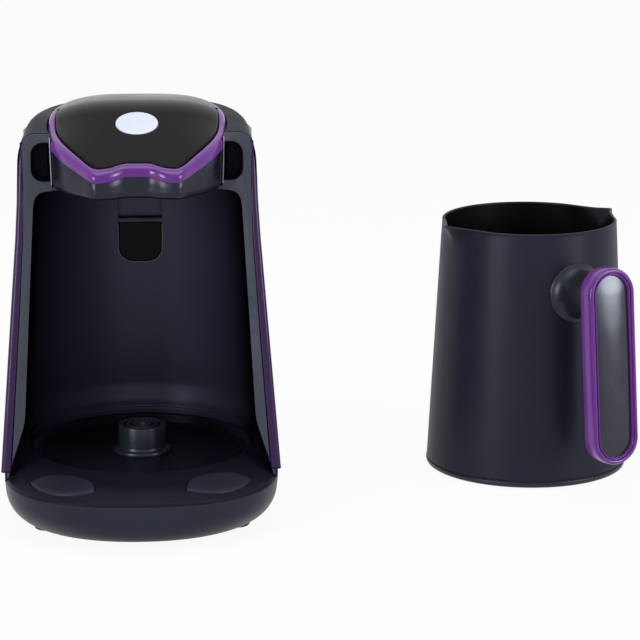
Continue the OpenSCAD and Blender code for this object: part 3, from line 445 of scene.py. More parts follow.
DOME_LINE = through(DOME, 3)
dome_rings = [base_ring(z, g, n) for z, g, n in DOME_LINE]
for ring in dome_rings:
    ring[:, :2] *= np.maximum(1, (SEAT_R + 1.6) / np.hypot(ring[:, 0], ring[:, 1]))[:, None]
brink = circle(SEAT_R + 1.0, DECK_Z)
deck_rings = dome_rings + [dome_rings[-1] * (1 - t) + brink * t for t in (0.3, 0.6, 0.85, 1)]
seat = [(SEAT_R + 1 - math.sin(a), DECK_Z - 1 + math.cos(a)) for a in np.radians((22, 45, 67, 90))]
seat += [(SEAT_R - 1 + math.cos(a), SEAT_Z + 1 - math.sin(a)) for a in np.radians((0, 30, 60, 90))]
seat += [(57.6, SEAT_Z), (57.2, SEAT_Z - 0.5), (56.4, SEAT_Z - 0.5), (56, SEAT_Z), (36, SEAT_Z),
         (18.2, SEAT_Z), (14.9, SEAT_Z), (14.8, SEAT_Z - 0.15), (14.8, SEAT_Z - 2.9), (SEAT_R - 1, 27.1)]
deck_rings += [circle(r, z) for r, z in seat] + [base_ring(27.1, -4), base_ring(27.06)]


def leaf_line(side, inset, lift):
    """Outline of one pad, pulled in by inset, at a height over the dome's surface."""
    bulge = [(LEAF_L**2 / 4 + b * b) / (2 * b) for b in (LEAF_IN, LEAF_OUT)]
    c, s = math.cos(math.radians(LEAF_TURN)), math.sin(math.radians(LEAF_TURN))
    half = LEAF_L / 2 - 1.6 * inset
    u = -half * np.cos(np.linspace(0, math.pi, LEAF_STEPS + 1))
    upper = np.sqrt(np.maximum((bulge[0] - inset) ** 2 - u**2, 0)) - (bulge[0] - LEAF_IN)
    lower = -(np.sqrt(np.maximum((bulge[1] - inset) ** 2 - u**2, 0)) - (bulge[1] - LEAF_OUT))
    u = np.concatenate([u, u[::-1][1:-1]])
    v = np.concatenate([np.maximum(upper, lower), lower[::-1][1:-1]])
    x, y = LEAF_C[0] + u * c - v * s, LEAF_C[1] + u * s + v * c
    return rows(side * x, y, dome_z(x, y) + lift)


def leaf_solid(side, rings):
    """(points, faces) of a leaf-shaped body over (inset, lift) rings, from its underside to its top."""
    points, faces = loft([leaf_line(side, *ring) for ring in rings])
    n = 2 * LEAF_STEPS
    for first, up in ((0, False), (len(points) - n, True)):
        for i in range(LEAF_STEPS):
            quad = (first + i, first + i + 1, first + (n - i - 1) % n, first + (n - i) % n)
            faces.append(quad if up else quad[::-1])
    return points, faces


def merged(name, objects, sharp=35):
    """One object from several, each keeping its own faces."""
    bm = bmesh.new()
    for o in objects:
        bm.from_mesh(o.data)
        bpy.data.objects.remove(o)
    return new_object(name, bm, sharp)


def in_slot(obj, index):
    """The object with all its faces in one material slot."""
    obj.data.polygons.foreach_set("material_index", [index] * len(obj.data.polygons))
    return obj


LEAF_RINGS = [(0.03, -1.2), (0.03, 0.4), (0.12, 0.58), (0.35, 0.72), (0.9, 0.79), (2.5, 0.8)]
dome = piece("dome", [loft(deck_rings)], sharp=28)
for side in (1, -1):
    carve(dome, [leaf_solid(side, [(-0.6, -1.0), (-0.6, 3.0)])], 28)
pads = in_slot(piece("leaf_pads", [leaf_solid(side, LEAF_RINGS) for side in (1, -1)], sharp=28), 2)
# Faces down in the seat take a darker colour than the deck's slope: painted shade in the recess.
for f in dome.data.polygons:
    spot = f.center * 1000 - Vector(SEAT_AXIS)
    f.material_index = int(spot.xy.length < SEAT_R + 0.3 and spot.z < 34.3)
deck = merged("deck_dome", [dome, pads], 28)
seat_painted_shade = moulding("seat_plastic_painted_shade", (0.0055, 0.006, 0.0095), 0.42, shine=0.12)
deck_plastic = moulding("deck_plastic", (0.0072, 0.0070, 0.0135), 0.42, depth=0.00004, shine=0.08)
paint(deck, deck_plastic, seat_painted_shade, slate)
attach(deck, "stand")
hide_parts("base_deck")

# ------------------------ connector tower
# Turned-looking moulded plug of the cordless seat. It is clamped through the seat's floor,
# and holds brass contact rings in two round grooves about a centre pin.
TOWER_PROFILE = [(0, 21), (13.8, 21), (14.6, 21.8), (14.6, 24.3), (13.1, 24.3), (13.1, 27.05), (14.6, 27.05),
                 (14.6, 30.05), (16.0, 30.05), (16.35, 30.3), (16.4, 30.7), (16.4, 31.5), (16.1, 32.1),
                 (15.4, 32.4), (14.5, 32.5), (13.9, 32.8), (13.6, 33.4), (13.5, 34.4), (13.5, 45.0),
                 (13.35, 45.6), (12.9, 45.95), (12.4, 46), (12.1, 45.9), (12.0, 45.55), (11.75, 45.55),
                 (11.65, 45.9), (11.4, 46), (10.9, 46), (10.7, 45.8), (10.7, 35), (8.8, 35), (8.8, 45.8),
                 (8.65, 46), (7.3, 46), (7.1, 45.8), (7.1, 35), (5.2, 35), (5.2, 45.8), (5.0, 46), (2.9, 46),
                 (2.6, 45.7), (2.6, 35), (0, 35)]
tower = piece("tower_plug", [lathe(TOWER_PROFILE)], sharp=32)
tower_plastic = moulding("dark_plastic", (0.015, 0.017, 0.025), 0.3)
paint(tower, tower_plastic)
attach(tower, "stand")
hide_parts("connector_tower")

# ------------------------ bay liner
# Dark moulded inner shell: the tapered bay that the jug stands in, coved at its foot and
# flared out to the wings, with the wings' front frames, side pockets and the sensor's recess.
TAN_LEAN = 22 / 188
ROOF_Z, FLARE_TOP, FLARE_RISE = 187, 64, 33
WINDOW_HALF, WINDOW_Z, WINDOW_R = 12.8, 127.5, 9
BAY_LINE = through([(61.9, 35.12), (61.55, 35.3), (61.45, 36.0), (61.45, 38.4), (61.6, 39.0), (61.95, 39.3),
                    (62.25, 39.8), (62.3, 41.5), (62.45, 43.5), (62.95, 46), (63.6, 49), (64.05, 52),
                    (64.1, 54.5), (63.8, 60), (63.3, 68), (61.1, 108), (58.9, 147), (57.45, 173),
                    (57.0, 179), (56.2, 182.4), (54.6, 184.9), (52, 186.4), (48.8, ROOF_Z)], 3)


def front_y(z):
    """Depth of the wings' leaning front plane at height z."""
    return -51 + (np.asarray(z, float) - 30) * TAN_LEAN


def bay_half(y, z, r):
    """Half width of the bay at depth y ahead of the axis: its wall, or the flare where that is wider."""
    f = np.clip((FLARE_TOP - z) / FLARE_RISE, 0, 1.1)
    flare = (60.3 + 13.7 * np.clip((-12 - y) / 39, 0, 1.2)) * f + 62.6 * (1 - f)
    flare = np.where(z > FLARE_TOP, 0, flare)
    return 0.5 * (r + flare + np.sqrt((r - flare) ** 2 + 0.25))


def bay_ring(r, z, foot=None):
    """Open line of the bay's wall at one height, from its right front edge round the back to the left."""
    depth = np.linspace(float(front_y(z)) + 2.2, 0, 18)
    height = np.full(18, float(z))
    x = bay_half(depth, height, r)
    if foot is not None:
        for _ in range(3):
            height = z + (np.minimum(dome_z(x, depth) + 0.06, z) - z) * foot
            x = bay_half(depth, height, r)
    t = np.linspace(0, math.pi, 67)[1:-1]
    right = rows(x, depth, height)
    back = level(r * rows(np.cos(t), np.sin(t)), z)
    return np.vstack([right, back, right[::-1] * (-1, 1, 1)])


bay_rings = [bay_ring(*BAY_LINE[0], foot=f) for f in (1, 0.66, 0.33)] + [bay_ring(r, z) for r, z in BAY_LINE]
roof = bay_rings[-1]
bay_rings += [rows(roof[:, 0] * k, np.where(roof[:, 1] > 0, roof[:, 1] * k, roof[:, 1]),
                   ROOF_Z + 0.1 * (1 - k)) for k in (0.8, 0.5, 0.2, 0.0)]
bay = piece("bay_wall", [loft(bay_rings, loop=False)], sharp=50)
middle = SEAT_AXIS[0] * 0.001
inward = sum(f.normal.dot(Vector((middle, 0, f.center.z)) - f.center) > 0 for f in bay.data.polygons)
if inward < len(bay.data.polygons) / 2:
    bay.data.flip_normals()
altered(bay, "SOLIDIFY", 50, thickness=0.002, offset=-1, use_even_offset=True)


def slot_line(half, z0, z1, r=WINDOW_R):
    """(x, z) line round an upright slot with round lower corners."""
    t = np.radians(np.linspace(0, 90, 10))
    right = rows(half - r + r * np.sin(t), z0 + r - r * np.cos(t))
    sides = np.linspace(z1, z0 + r, 9)[:-1]
    left = rows(-half, sides)
    return np.vstack([left, right[::-1] * (-1, 1), right, left[::-1] * (-1, 1)])


AROUND = full_turn(288)
HEAD_A, HEAD_FRONT, HEAD_BACK, HEAD_Y = 49.5, 66.5, 50, -5


def head_line(grow, t=AROUND):
    """Plan of the head, grown by grow, at angles t round its middle."""
    x, y = oval(t, HEAD_A + grow, HEAD_FRONT + grow, HEAD_BACK + grow, 2.3, 2.6, HEAD_Y).T
    nose = 5.8 * np.exp(-(x / 11.5) ** 4) - 4.6 * np.exp(-((np.abs(x) - 23) / 6.5) ** 2)
    return rows(x, np.where(np.sin(t) < 0, y + nose, y))


HEAD_SLOT = [loft([level(head_line(0.4), z) for z in (189.3, 240)], ends=True)]


def channel(half, z0, z1, y0, y1, r=WINDOW_R):
    """(points, faces) of an upright slot, half wide, between two depths."""
    return loft([np.insert(slot_line(half, z0, z1, r), 1, y, axis=1) for y in (y0, y1)], ends=True)


carve(bay, [channel(WINDOW_HALF, WINDOW_Z, ROOF_Z - 0.2, 30, 70)], 40)
flat = np.insert(slot_line(WINDOW_HALF + 0.04, WINDOW_Z - 0.04, ROOF_Z + 0.1), 1, 62.2, axis=1)
mouth = flat.copy()
mouth[:, 1] = np.sqrt(np.interp(flat[:, 2], BAY_LINE[:, 1], BAY_LINE[:, 0]) ** 2 - flat[:, 0] ** 2) + 0.3
recess = piece("recess", [loft([mouth, flat, flat * (0, 1, 0) + (0, 0, 157)])], sharp=40)
outward = max(recess.data.polygons, key=lambda f: f.center.y).normal.y > 0
altered(recess, "SOLIDIFY", 40, thickness=0.0016, offset=1 if outward else -1)

# Wings: front frames in the leaning plane, with rounded edges, and the pockets behind them
opening = [(float(bay_half(front_y(z), z, r)), z) for r, z in BAY_LINE if z > 38.5]


def house_half(z):
    """Half width of the housing at height z, side panels included."""
    return np.interp(z, [27, 170, 211], [77.5, 66.5, 65])


def lip_x(z):
    """Inner edge of the side panel's lip at height z."""
    return house_half(z) - np.interp(z, [30, 110, 170, 200, 209], [5.5, 5.0, 4.2, 3.0, 2.3])


def wing_face(side):
    """Front frame of one wing, a rounded plate in the leaning plane, and the cup of its pocket."""
    outer = [(lip_x(z) - 0.12, z) for z in (39.5, 80, 120, 160, 190, 208.9)]
    t = np.radians(np.linspace(0, 90, 8))
    shoulder = [(56 + 6.95 * math.cos(a), 211 + 6.95 * math.sin(a)) for a in t]
    pocket = [(46.6, 213.5)] + [(51.2 + 6.8 * math.sin(a), 206.7 + 6.8 * math.cos(a)) for a in t]
    pocket += [(51.2 + 6.8 * math.cos(a), 198.8 - 6.8 * math.sin(a)) for a in t] + [(46.6, 192)]
    line = outer + [(63, 209.2), *shoulder, (46.6, 217.95), *pocket, (46.6, 187.1)] + opening[::-1][1:]
    c, s = 1 / math.hypot(1, TAN_LEAN), TAN_LEAN / math.hypot(1, TAN_LEAN)

    def sunk(x, z, depth):
        """Point at a depth behind the leaning face."""
        return side * x, float(front_y(z)) + depth * c, z - depth * s

    bm = bmesh.new()
    rings = [[bm.verts.new(in_stand(sunk(x, z, depth))) for x, z in line] for depth in (0, 3.0)]
    face = bm.faces.new(rings[0])
    for i in range(len(line)):
        k = (i + 1) % len(line)
        bm.faces.new((rings[0][i], rings[0][k], rings[1][k], rings[1][i]))
    bm.faces.new(rings[1][::-1])
    bmesh.ops.recalc_face_normals(bm, faces=bm.faces)
    bmesh.ops.bevel(bm, geom=face.edges[:], offset=0.0021, segments=5, profile=0.5, affect="EDGES",
                    clamp_overlap=True)
    plate = new_object("wing", bm, 50)
    cup = [[sunk(x, z, depth) for x, z in pocket] for depth in (1.9, 14.0)]
    cup.append([sunk(50 + (x - 50) * 0.02, 202, 14) for x, z in pocket])
    hollow = piece("pocket", [loft(cup, loop=False)], sharp=50, closed=False)
    altered(hollow, "SOLIDIFY", 50, thickness=0.001, offset=0)
    for part in (plate, hollow):
        carve(part, HEAD_SLOT, 50)
    altered(plate, "BEVEL", 50, width=0.0004, segments=2, limit_method="ANGLE", angle_limit=math.radians(60))
    return [in_slot(plate, 1), in_slot(hollow, 2)]


# Fine rim round the foot of the sensor's recess, pale as a painted highlight, and the shelf above the window
t = np.radians(np.linspace(0, 90, 12))
low = WINDOW_Z + WINDOW_R
rim_line = rows(WINDOW_HALF - WINDOW_R + WINDOW_R * np.sin(t), low - WINDOW_R * np.cos(t))
rim_line = np.vstack([rim_line, [[WINDOW_HALF, 150]]])
rim_line = np.vstack([rim_line[::-1] * (-1, 1), rim_line])
rim_rings = []
RIM_R, BEAD_R = 0.34, 0.32
a = full_turn(10)
for (x, z), (dx, dz) in zip(rim_line, np.gradient(rim_line, axis=0)):
    r = np.interp(z, BAY_LINE[:, 1], BAY_LINE[:, 0])
    out = RIM_R * np.array([dz, -dx]) / math.hypot(dx, dz)
    rim_rings.append(rows(x + np.cos(a) * out[0], math.sqrt(r * r - x * x) + RIM_R * np.sin(a),
                          z + np.cos(a) * out[1]))
SHELF = [(-1.9, 0.6), (-1.9, 2.0), (-1.7, 2.6), (-1.2, 3.0), (1.7, 3.2), (1.7, 2.0), (1.7, 1.4), (1.7, 1.0),
         (1.7, 0), (-1.2, 0), (-1.7, 0.15), (-1.9, 0.4)]
shelf = [[(x, 60.4 + dy, 151.2 + dz) for dy, dz in SHELF] for x in (-12.7, 12.7)]
# Fine bead on the edge of each wing where the head's side runs down past its pocket, pale as a painted
# highlight
beads = []
plan_line = head_line(0.5, np.radians(np.linspace(340, 270, 60)))[::-1]
a = full_turn(8)
for side in (-1, 1):
    bead_rings = []
    for z in np.linspace(190.5, 216, 14):
        y = float(front_y(z))
        x = np.interp(y, plan_line[:, 1], plan_line[:, 0])
        bead_rings.append(rows(side * (x + 0.15 + BEAD_R * np.cos(a)), y + 0.1 + BEAD_R * np.sin(a), z))
    beads.append(loft(bead_rings, ends=True))
# The shelf takes slot 1, the wings' lighter colour: painted light.
ledge = in_slot(piece("ledge", [loft(shelf, ends=True)], sharp=40), 1)
details = in_slot(piece("details", [loft(rim_rings, ends=True)] + beads, sharp=40), 3)


def facing_painted_gloss(name, colour, flat_on_colour, rough=0.14, size=500.0, coat=0.15, shine=0.3, cast=(1, 0.9, 1), turn=0.42,
          rim=1.0):
    """Gloss with painted light: one colour where it is seen flat on, flat_on_colour, and another at its
    turning edges, so that the facing paints highlight or shade in.

    turn says how early it changes, and rim is the share of its shine that is left at those edges; a rim
    under one paints shade there."""
    made = moulding(name, colour, rough, size=size, depth=0.00001, uneven=0.08, worn=0.15, coat=coat,
                    spread=0.03, shine=shine, cast=cast)
    tree = made.node_tree
    shader = tree.nodes["Principled BSDF"]
    # Painted light: the base colour goes from flat_on_colour to colour with the facing, as light and shade
    # would.
    facing = node(tree, "ShaderNodeLayerWeight", Blend=turn).outputs["Facing"]
    blend = node(tree, "ShaderNodeMix", data_type="RGBA", Factor=facing, A=(*flat_on_colour, 1),
                 B=shader.inputs["Base Color"].links[0].from_socket)
    feed(tree, shader, Base_Color=blend.outputs["Result"])
    # Painted shade: a rim under one takes the shine away at the turning edges.
    if rim < 1:
        fade = node(tree, "ShaderNodeMapRange", Value=facing, To_Min=shine, To_Max=shine * rim)
        feed(tree, shader, Specular_IOR_Level=fade.outputs[0])
    return made


liner = merged("bay_lining", [bay, recess, ledge, details] + wing_face(1) + wing_face(-1), 38)
# The bay's plastic is painted light: lighter and bluer where its walls face the camera, a painted highlight,
# and near-black with no shine where they turn away, a painted shade.
bay_plastic_painted_light = facing_painted_gloss("bay_plastic_painted_light", (0.0006, 0.0006, 0.001), (0.036, 0.036, 0.066), 0.46, 900.0, 0, 0.5,
                    (0.72, 0.75, 1), 0.76, 0)
# The wings' frames and the shelf take a lighter copy of the liner's plastic: painted light where they face
# the lamps.
wing_plastic_painted_light = moulding("wing_plastic_painted_light", (0.033, 0.0355, 0.047), 0.34)
# The pockets' cups take a darker copy of the liner's plastic: painted shade in the recesses.
pocket_painted_shade = moulding("pocket_plastic_painted_shade", (0.003, 0.0034, 0.007), 0.34, shine=0.06)
# The rim and the beads are painted pale: a painted highlight along those edges.
rim_painted_highlight = moulding("rim_painted_highlight", (0.15, 0.155, 0.185), 0.3, depth=0.00002, shine=0.6)
paint(liner, bay_plastic_painted_light, wing_plastic_painted_light, pocket_painted_shade, rim_painted_highlight)
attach(liner, "stand")
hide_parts("bay_liner")

# ------------------------ sensor window
# Flat lens of smoked, polished plastic over the level sensor. Its edges are finely bevelled,
# and it sits in the recess in the bay's back, below the shelf.
pane = piece("sensor_lens", [channel(WINDOW_HALF - 0.2, WINDOW_Z + 0.2, 151.2, 60.1, 61.95, 8.9)], sharp=30)
altered(pane, "BEVEL", width=0.0004, segments=3, limit_method="ANGLE")
lens = moulding("smoked_lens", (0.0025, 0.0028, 0.0045), 0.08, size=300.0, depth=0.000004, uneven=0.05,
                worn=0.0, spread=0.02, shine=0.07)
paint(pane, lens)
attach(pane, "stand")
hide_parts("sensor_window")

# ------------------------ rear shell
# Outer cover of the housing, moulded in one piece with the rounded shoulders, hooked over the
# liner's frame and held by two screws in the back, where seven louvres let the boards breathe.
SHELL_BACK, SHOULDER_Z, SHOULDER_R = 84, 211, 7
LOUVRES, LOUVRE_HALF, LOUVRE_R = [53.5 + 7 * i for i in range(7)], 22.5, 1.5


def back_share(y):
    """Share of the half width that the rounded back leaves at depth y."""
    return (1 - np.clip((y - PLAN_Y) / (SHELL_BACK - PLAN_Y), 0, 1) ** BACK_N) ** (1 / BACK_N)


def shell_ring(z, inset):
    """Open line of the shell at one height, pulled in by inset, from its right front to its left."""
    a = house_half(z) - 2 - inset
    t = np.linspace(0, math.pi / 2, 40)
    x = a * np.cos(t) ** (2 / BACK_N)
    y = PLAN_Y + (SHELL_BACK - inset - PLAN_Y) * np.sin(t) ** (2 / BACK_N)
    front = np.linspace(float(front_y(z)) + 3.05, PLAN_Y - 0.5, 4)
    right = np.vstack([rows(a, front), rows(x, y)])
    return level(np.vstack([right, right[::-1][1:] * (-1, 1)]), z)


shell_rings = [shell_ring(z, 0) for z in (27.06, 27.3, 60, 100, 140, 170, 190, 205, SHOULDER_Z)]
shell_rings += [shell_ring(SHOULDER_Z + SHOULDER_R * math.sin(a), SHOULDER_R * (1 - math.cos(a)))
                for a in np.radians((15, 30, 45, 60, 75, 90))]
for line in shell_rings:
    line[:, 2] += 3.2 * np.clip((line[:, 2] - 200) / 18, 0, 1) * np.clip((line[:, 1] + 26) / 40, 0, 1)
points, faces = loft(shell_rings, loop=False)
n = len(shell_rings[-1])
first = len(points) - n
faces += [(first + i, first + i + 1, first + n - 2 - i, first + n - 1 - i) for i in range(n // 2)]
shell = piece("shell_cover", [(points, faces)], sharp=50)
if max(shell.data.polygons, key=lambda f: f.center.z).normal.z < 0:
    shell.data.flip_normals()
altered(shell, "SOLIDIFY", thickness=0.0024, offset=-1, use_even_offset=True)
slots, rims = [], []
a, b = full_turn(24, 0.02), full_turn(32)
for z in LOUVRES:
    x = np.where(np.cos(a) > 0, LOUVRE_HALF, -LOUVRE_HALF) + LOUVRE_R * np.cos(a)
    slot = rows(x, 70.0, z + LOUVRE_R * np.sin(a))
    slots.append(loft([slot, slot + (0, 24, 0)], ends=True))
    collar = []
    for grow, out in ((0.0, -0.6), (0.0, 0.1), (0.3, 0.28), (0.7, 0.25), (1.0, 0.0), (1.0, -0.6)):
        x = np.where(np.cos(b) > 0, LOUVRE_HALF, -LOUVRE_HALF) + (LOUVRE_R + grow) * np.cos(b)
        y = (SHELL_BACK - PLAN_Y) * (1 - (np.abs(x) / (house_half(60) - 2)) ** BACK_N) ** (1 / BACK_N)
        collar.append(rows(x, PLAN_Y + y + out, z + (LOUVRE_R + grow) * np.sin(b)))
    rims.append(loft(collar + [collar[0]]))
carve(shell, slots)
carve(shell, HEAD_SLOT)
louvres = piece("louvre_rims", rims, sharp=40)
shell = merged("rear_cover", [shell, louvres])
shell_slate = moulding("shell_plastic", (0.0125, 0.0135, 0.022), 0.46, depth=0.00004, shine=0.04)
paint(shell, shell_slate)
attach(shell, "stand")
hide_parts("rear_shell")
back_screws = set_out("cover_fixings", screw("cover_screw", 1.5, 2.9, 1.6, 8.0),
                      in_stand([(0, 84.2, 44), (0, 84.2, 178)]), steel, "stand", math.pi / 2)

# ------------------------ side panels
# Two purple gloss skins clipped over the shell's sides. Each one's lip wraps round the wing's
# front edge, wide at the foot and narrow at the shoulder.
# The panels' purple is a little darker at its turning edges than flat on: painted shade.
purple_painted_shade = facing_painted_gloss("panel_purple_painted_shade", (0.017, 0.006, 0.036), (0.020, 0.0065, 0.043), 0.3, shine=0.15)
SKIN_FOOT, SKIN_TOP, SKIN_BACK, SKIN_WALL = 28.2, 213.5, 44, 1.98


def side_skin(side):
    """(points, faces) of one panel, a closed profile carried up the side."""
    levels = through([(0, 0), (0.02, 0), (0.3, 0), (0.6, 0), (0.9, 0), (0.95, 0.1), (0.975, 0.6),
                      (0.99, 1.25), (1, 1.8)], 3)
    rings = []
    for v, inset in levels:
        z = SKIN_FOOT + v * (SKIN_TOP - SKIN_FOOT)
        a, yf = float(house_half(z)) - 0.07, float(front_y(z))
        lip = lip_x(z) if z < 208.9 else 63.05
        t = np.radians(np.linspace(0, 90, 7))
        ys = np.concatenate([np.linspace(SKIN_BACK, PLAN_Y, 12), np.linspace(PLAN_Y - 6, yf + 4, 4)])
        out = [(a * float(back_share(y)), y) for y in ys]
        out[0] = (out[0][0] - 0.5, SKIN_BACK)
        out += [(a - 2.4 + 2.4 * math.cos(k), yf + 2.4 - 2.4 * math.sin(k)) for k in t]
        out += [(lip + 0.9 - 0.9 * math.sin(k), yf + 0.9 - 0.9 * math.cos(k)) for k in t]
        out += [(lip, yf + 2.6)]
        out += [(a - SKIN_WALL, y) for y in (yf + 3.2, yf + 8)]
        out += [((a - SKIN_WALL) * float(back_share(y)), y) for y in np.linspace(PLAN_Y, SKIN_BACK, 12)]
        out = np.array(out)
        out[:, 0] -= inset * (out[:, 0] > a - 1)
        floor_z = SKIN_FOOT + 5.6 * np.clip((-10 - out[:, 1]) / 26, 0, 1)
        rings.append(rows(side * out[:, 0], out[:, 1], floor_z + v * (SKIN_TOP - floor_z)))
    return loft(rings, ends=True)


for side, name in ((-1, "left"), (1, "right")):
    skin = piece("side_skin_" + name, [side_skin(side)], sharp=35)
    paint(skin, purple_painted_shade)
    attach(skin, "stand")
    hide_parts("side_panel_" + name)

# ------------------------ head housing
# Moulded cowl over the bay's roof. In plan it is a broad nose with two lobes and a notch
# between them. It holds the board, and its rim carries the trim and the lid.
SLOPE = math.radians(21.5)
COWL_BACK_Z, COWL_FLOOR_Z = 189.42, 192.4


def lid_z(xy):
    """Height of the lid's surface: a slope that rounds over into a nearly level crest, crowned across."""
    x, y = np.asarray(xy, float).T[:2]
    brow = 170 + np.sqrt(np.maximum(3600 - (y - 15.8) ** 2, 0))
    crest = np.sqrt(np.maximum(90000 - (y - 15.8) ** 2, 0)) - 70
    z = np.where(y < -6.19, 206.2 + (y + 56) * math.tan(SLOPE), np.where(y < 15.8, brow, crest))
    k = np.clip((y + 50) / 50, 0, 1)
    return z - 6.2 * (np.abs(x) / 46) ** 3.6 * k * k * (3 - 2 * k)


def under_lid(grow, drop, t=AROUND):
    """Line of the head's plan at a drop below the lid's surface."""
    xy = head_line(grow, t)
    return np.column_stack([xy, lid_z(xy) - drop])


def head_floor(grow, z):
    """Line of the head's floor: at z ahead of the wings, resting on the bay's roof behind them."""
    xy = head_line(grow)
    return np.column_stack([xy, np.where(xy[:, 1] > front_y(188) - 0.4, max(z, COWL_BACK_Z), z)])


behind = head_line(0)[:, 1] > 18
foot = head_floor(-4.2, 187.5)
step = foot.copy()
step[:, 1] = np.maximum(step[:, 1], np.where(step[:, 2] < 188, front_y(188) - 0.42, -99))
raised = step.copy()
raised[:, 2] = COWL_BACK_Z
hub = np.array([[0, -16, 0]] * len(AROUND))
head_rings = [hub + (0, 0, COWL_BACK_Z), raised, step, foot]
head_rings += [head_floor(g, z) for g, z in ((-2.5, 187.62), (-1.2, 188.15), (-0.35, 189.2), (0, 190.8),
                                             (0, 191.6))]
head_rings += [under_lid(g, d - 2.2 * behind) for g, d in ((0, 9), (0, 5.3), (-0.2, 4.95), (-0.6, 4.85),
                                                           (-8, 4.85), (-8, 6.6), (-2.4, 6.6))]
head_rings += [level(head_line(-2.4), COWL_FLOOR_Z), hub + (0, 0, COWL_FLOOR_Z)]
head = piece("head_cowl", [loft(head_rings)], sharp=38)
head_plastic = moulding("head_plastic", (0.0075, 0.008, 0.0145), 0.26, depth=0.00002, uneven=0.08, shine=0.3)
paint(head, head_plastic)
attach(head, "stand")
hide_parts("head_housing")

# ------------------------ trim
# Purple gloss bead that sits in the rim of the head like a horseshoe, round the nose and both
# sides, and runs out behind the shoulders.
BEAD = [(0.15, -4.8), (0.2, -3.6), (0.2, -2.6), (0.1, -1.6), (-0.25, -0.9), (-0.9, -0.3), (-1.8, 0.1),
        (-3.0, 0.2), (-4.1, 0.02), (-5.0, -0.35), (-5.6, -0.8), (-5.9, -1.4), (-6.0, -2.4), (-6.0, -4.8)]
sweep = np.radians(np.linspace(161.2, 378.8, 401))


def bead_share(t):
    """Share of the bead's full width at angles t: it narrows along the sides."""
    y = head_line(0, t)[:, 1]
    return 1 - 0.34 * np.clip((y + 42) / 50, 0, 1) ** 0.8


bead = np.stack([under_lid(g * bead_share(sweep), -dz, sweep) for g, dz in BEAD], axis=1)
for i, share in ((0, 0.5), (1, 0.72), (2, 0.88), (3, 0.97)):
    for j in (i, len(sweep) - 1 - i):
        middle = bead[j].mean(axis=0)
        bead[j] = middle + (bead[j] - middle) * share
trim = piece("head_trim", [loft(list(bead), ends=True)], sharp=50)
# The trim's purple is much lighter at its turning edges than flat on: a painted sheen.
trim_purple_painted_sheen = facing_painted_gloss("trim_purple_painted_sheen", (0.180, 0.055, 0.290), (0.078, 0.008, 0.150), 0.18)
paint(trim, trim_purple_painted_sheen)
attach(trim, "stand")
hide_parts("trim_ring")

# ------------------------ lid
# Polished black cover that fills the horseshoe and rounds over the back of the head, with a
# round hole for the button in its slope.
BUTTON_Y, HOLE_R = -16.7, 12.05
hole = rows(np.cos(AROUND), math.cos(SLOPE) * np.sin(AROUND))


def lid_ring(share, drop, edge=-6.15, radius=HOLE_R):
    """Line on the lid from the button's hole, at share 0, to its outer edge, at share 1."""
    xy = head_line(0)
    rim = head_line(np.where(xy[:, 1] > 18, -0.15, edge * bead_share(AROUND) - 0.1))
    line = (hole * radius + (0, BUTTON_Y)) * (1 - share) + rim * share
    return np.column_stack([line, lid_z(line) - drop])


lid_rings = [lid_ring(0, drop, radius=HOLE_R + grow)
             for drop, grow in ((2.6, 0), (0.35, 0), (0.1, 0.1), (0, 0.4))]
lid_rings += [lid_ring(s, 0) for s in np.linspace(0.03, 0.97, 30)]
lid_rings += [lid_ring(1, d, e) for e, d in ((-7.3, 0.02), (-6.7, 0.12), (-6.35, 0.35), (-6.18, 0.75),
                                             (-6.15, 1.2), (-6.15, 2.6))]
lid_rings += [lid_ring(0, 2.6)]
lid = piece("lid_cover", [loft(lid_rings)], sharp=45)
lid_black = moulding("lid_black", (0.0035, 0.0035, 0.0045), 0.2, size=500.0, depth=0.000006, uneven=0.06,
                     worn=0.1, spread=0.03, shine=0.075, cast=(0.93, 0.9, 1))
paint(lid, lid_black)
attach(lid, "stand")
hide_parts("lid_panel")

# ------------------------ push button
# Round white key with a softly dished face. It slides in the lid's hole on its stem, which
# presses the switch's plunger, and the lamp beside the switch lights it from below.
KEY = [(0, 0.18), (5, 0.22), (9, 0.31), (10.7, 0.39), (11.2, 0.36), (11.5, 0.2), (11.66, -0.1), (11.7, -0.5),
       (11.7, -4.2), (10.1, -4.2), (10.1, -1.2), (0, -1.2)]


def on_lid(points):
    """Millimetres about the button's seat, +Z out of the lid's slope, to metres in the row frame."""
    p = np.asarray(points, float) @ np.array(Matrix.Rotation(SLOPE, 3, "X")).T
    return in_stand(p + (0, BUTTON_Y, lid_z([(0, BUTTON_Y)])[0]))


key = piece("push_key", [lathe(KEY, 128)], on_lid, sharp=45)
key_white = moulding("key_white", (0.62, 0.66, 0.74), 0.42, size=700.0, depth=0.00001, uneven=0.03, worn=0.0)
tree = key_white.node_tree
feed(tree, tree.nodes["Principled BSDF"], Emission_Color=(0.9, 0.94, 1, 1), Emission_Strength=0.03)
paint(key, key_white)
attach(key, "button")
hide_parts("button_cap")

# ------------------------ jug
# Deep-drawn and coated jug that narrows to the rim, where a lip is pressed out on either side
# for pouring. Its floor is welded in above the heater, and it is near-black inside.
JUG_AXIS, JUG_TURN = (123.5, 54.2, 0), math.radians(24.8)
JUG_FOOT_Z, LIP_FOOT_Z, RIM_Z = 5.15, 134, 150


def in_jug(points):
    """Millimetres about the jug's axis, handle towards -Y, to metres in the row frame."""
    p = np.asarray(points, float) @ np.array(Matrix.Rotation(JUG_TURN, 3, "Z")).T
    return (p + JUG_AXIS) * 0.001


def jug_r(z):
    """Radius of the jug's outside at height z."""
    return 59.2 - 7.9 * (np.asarray(z, float) - JUG_FOOT_Z) / (RIM_Z - JUG_FOOT_Z)


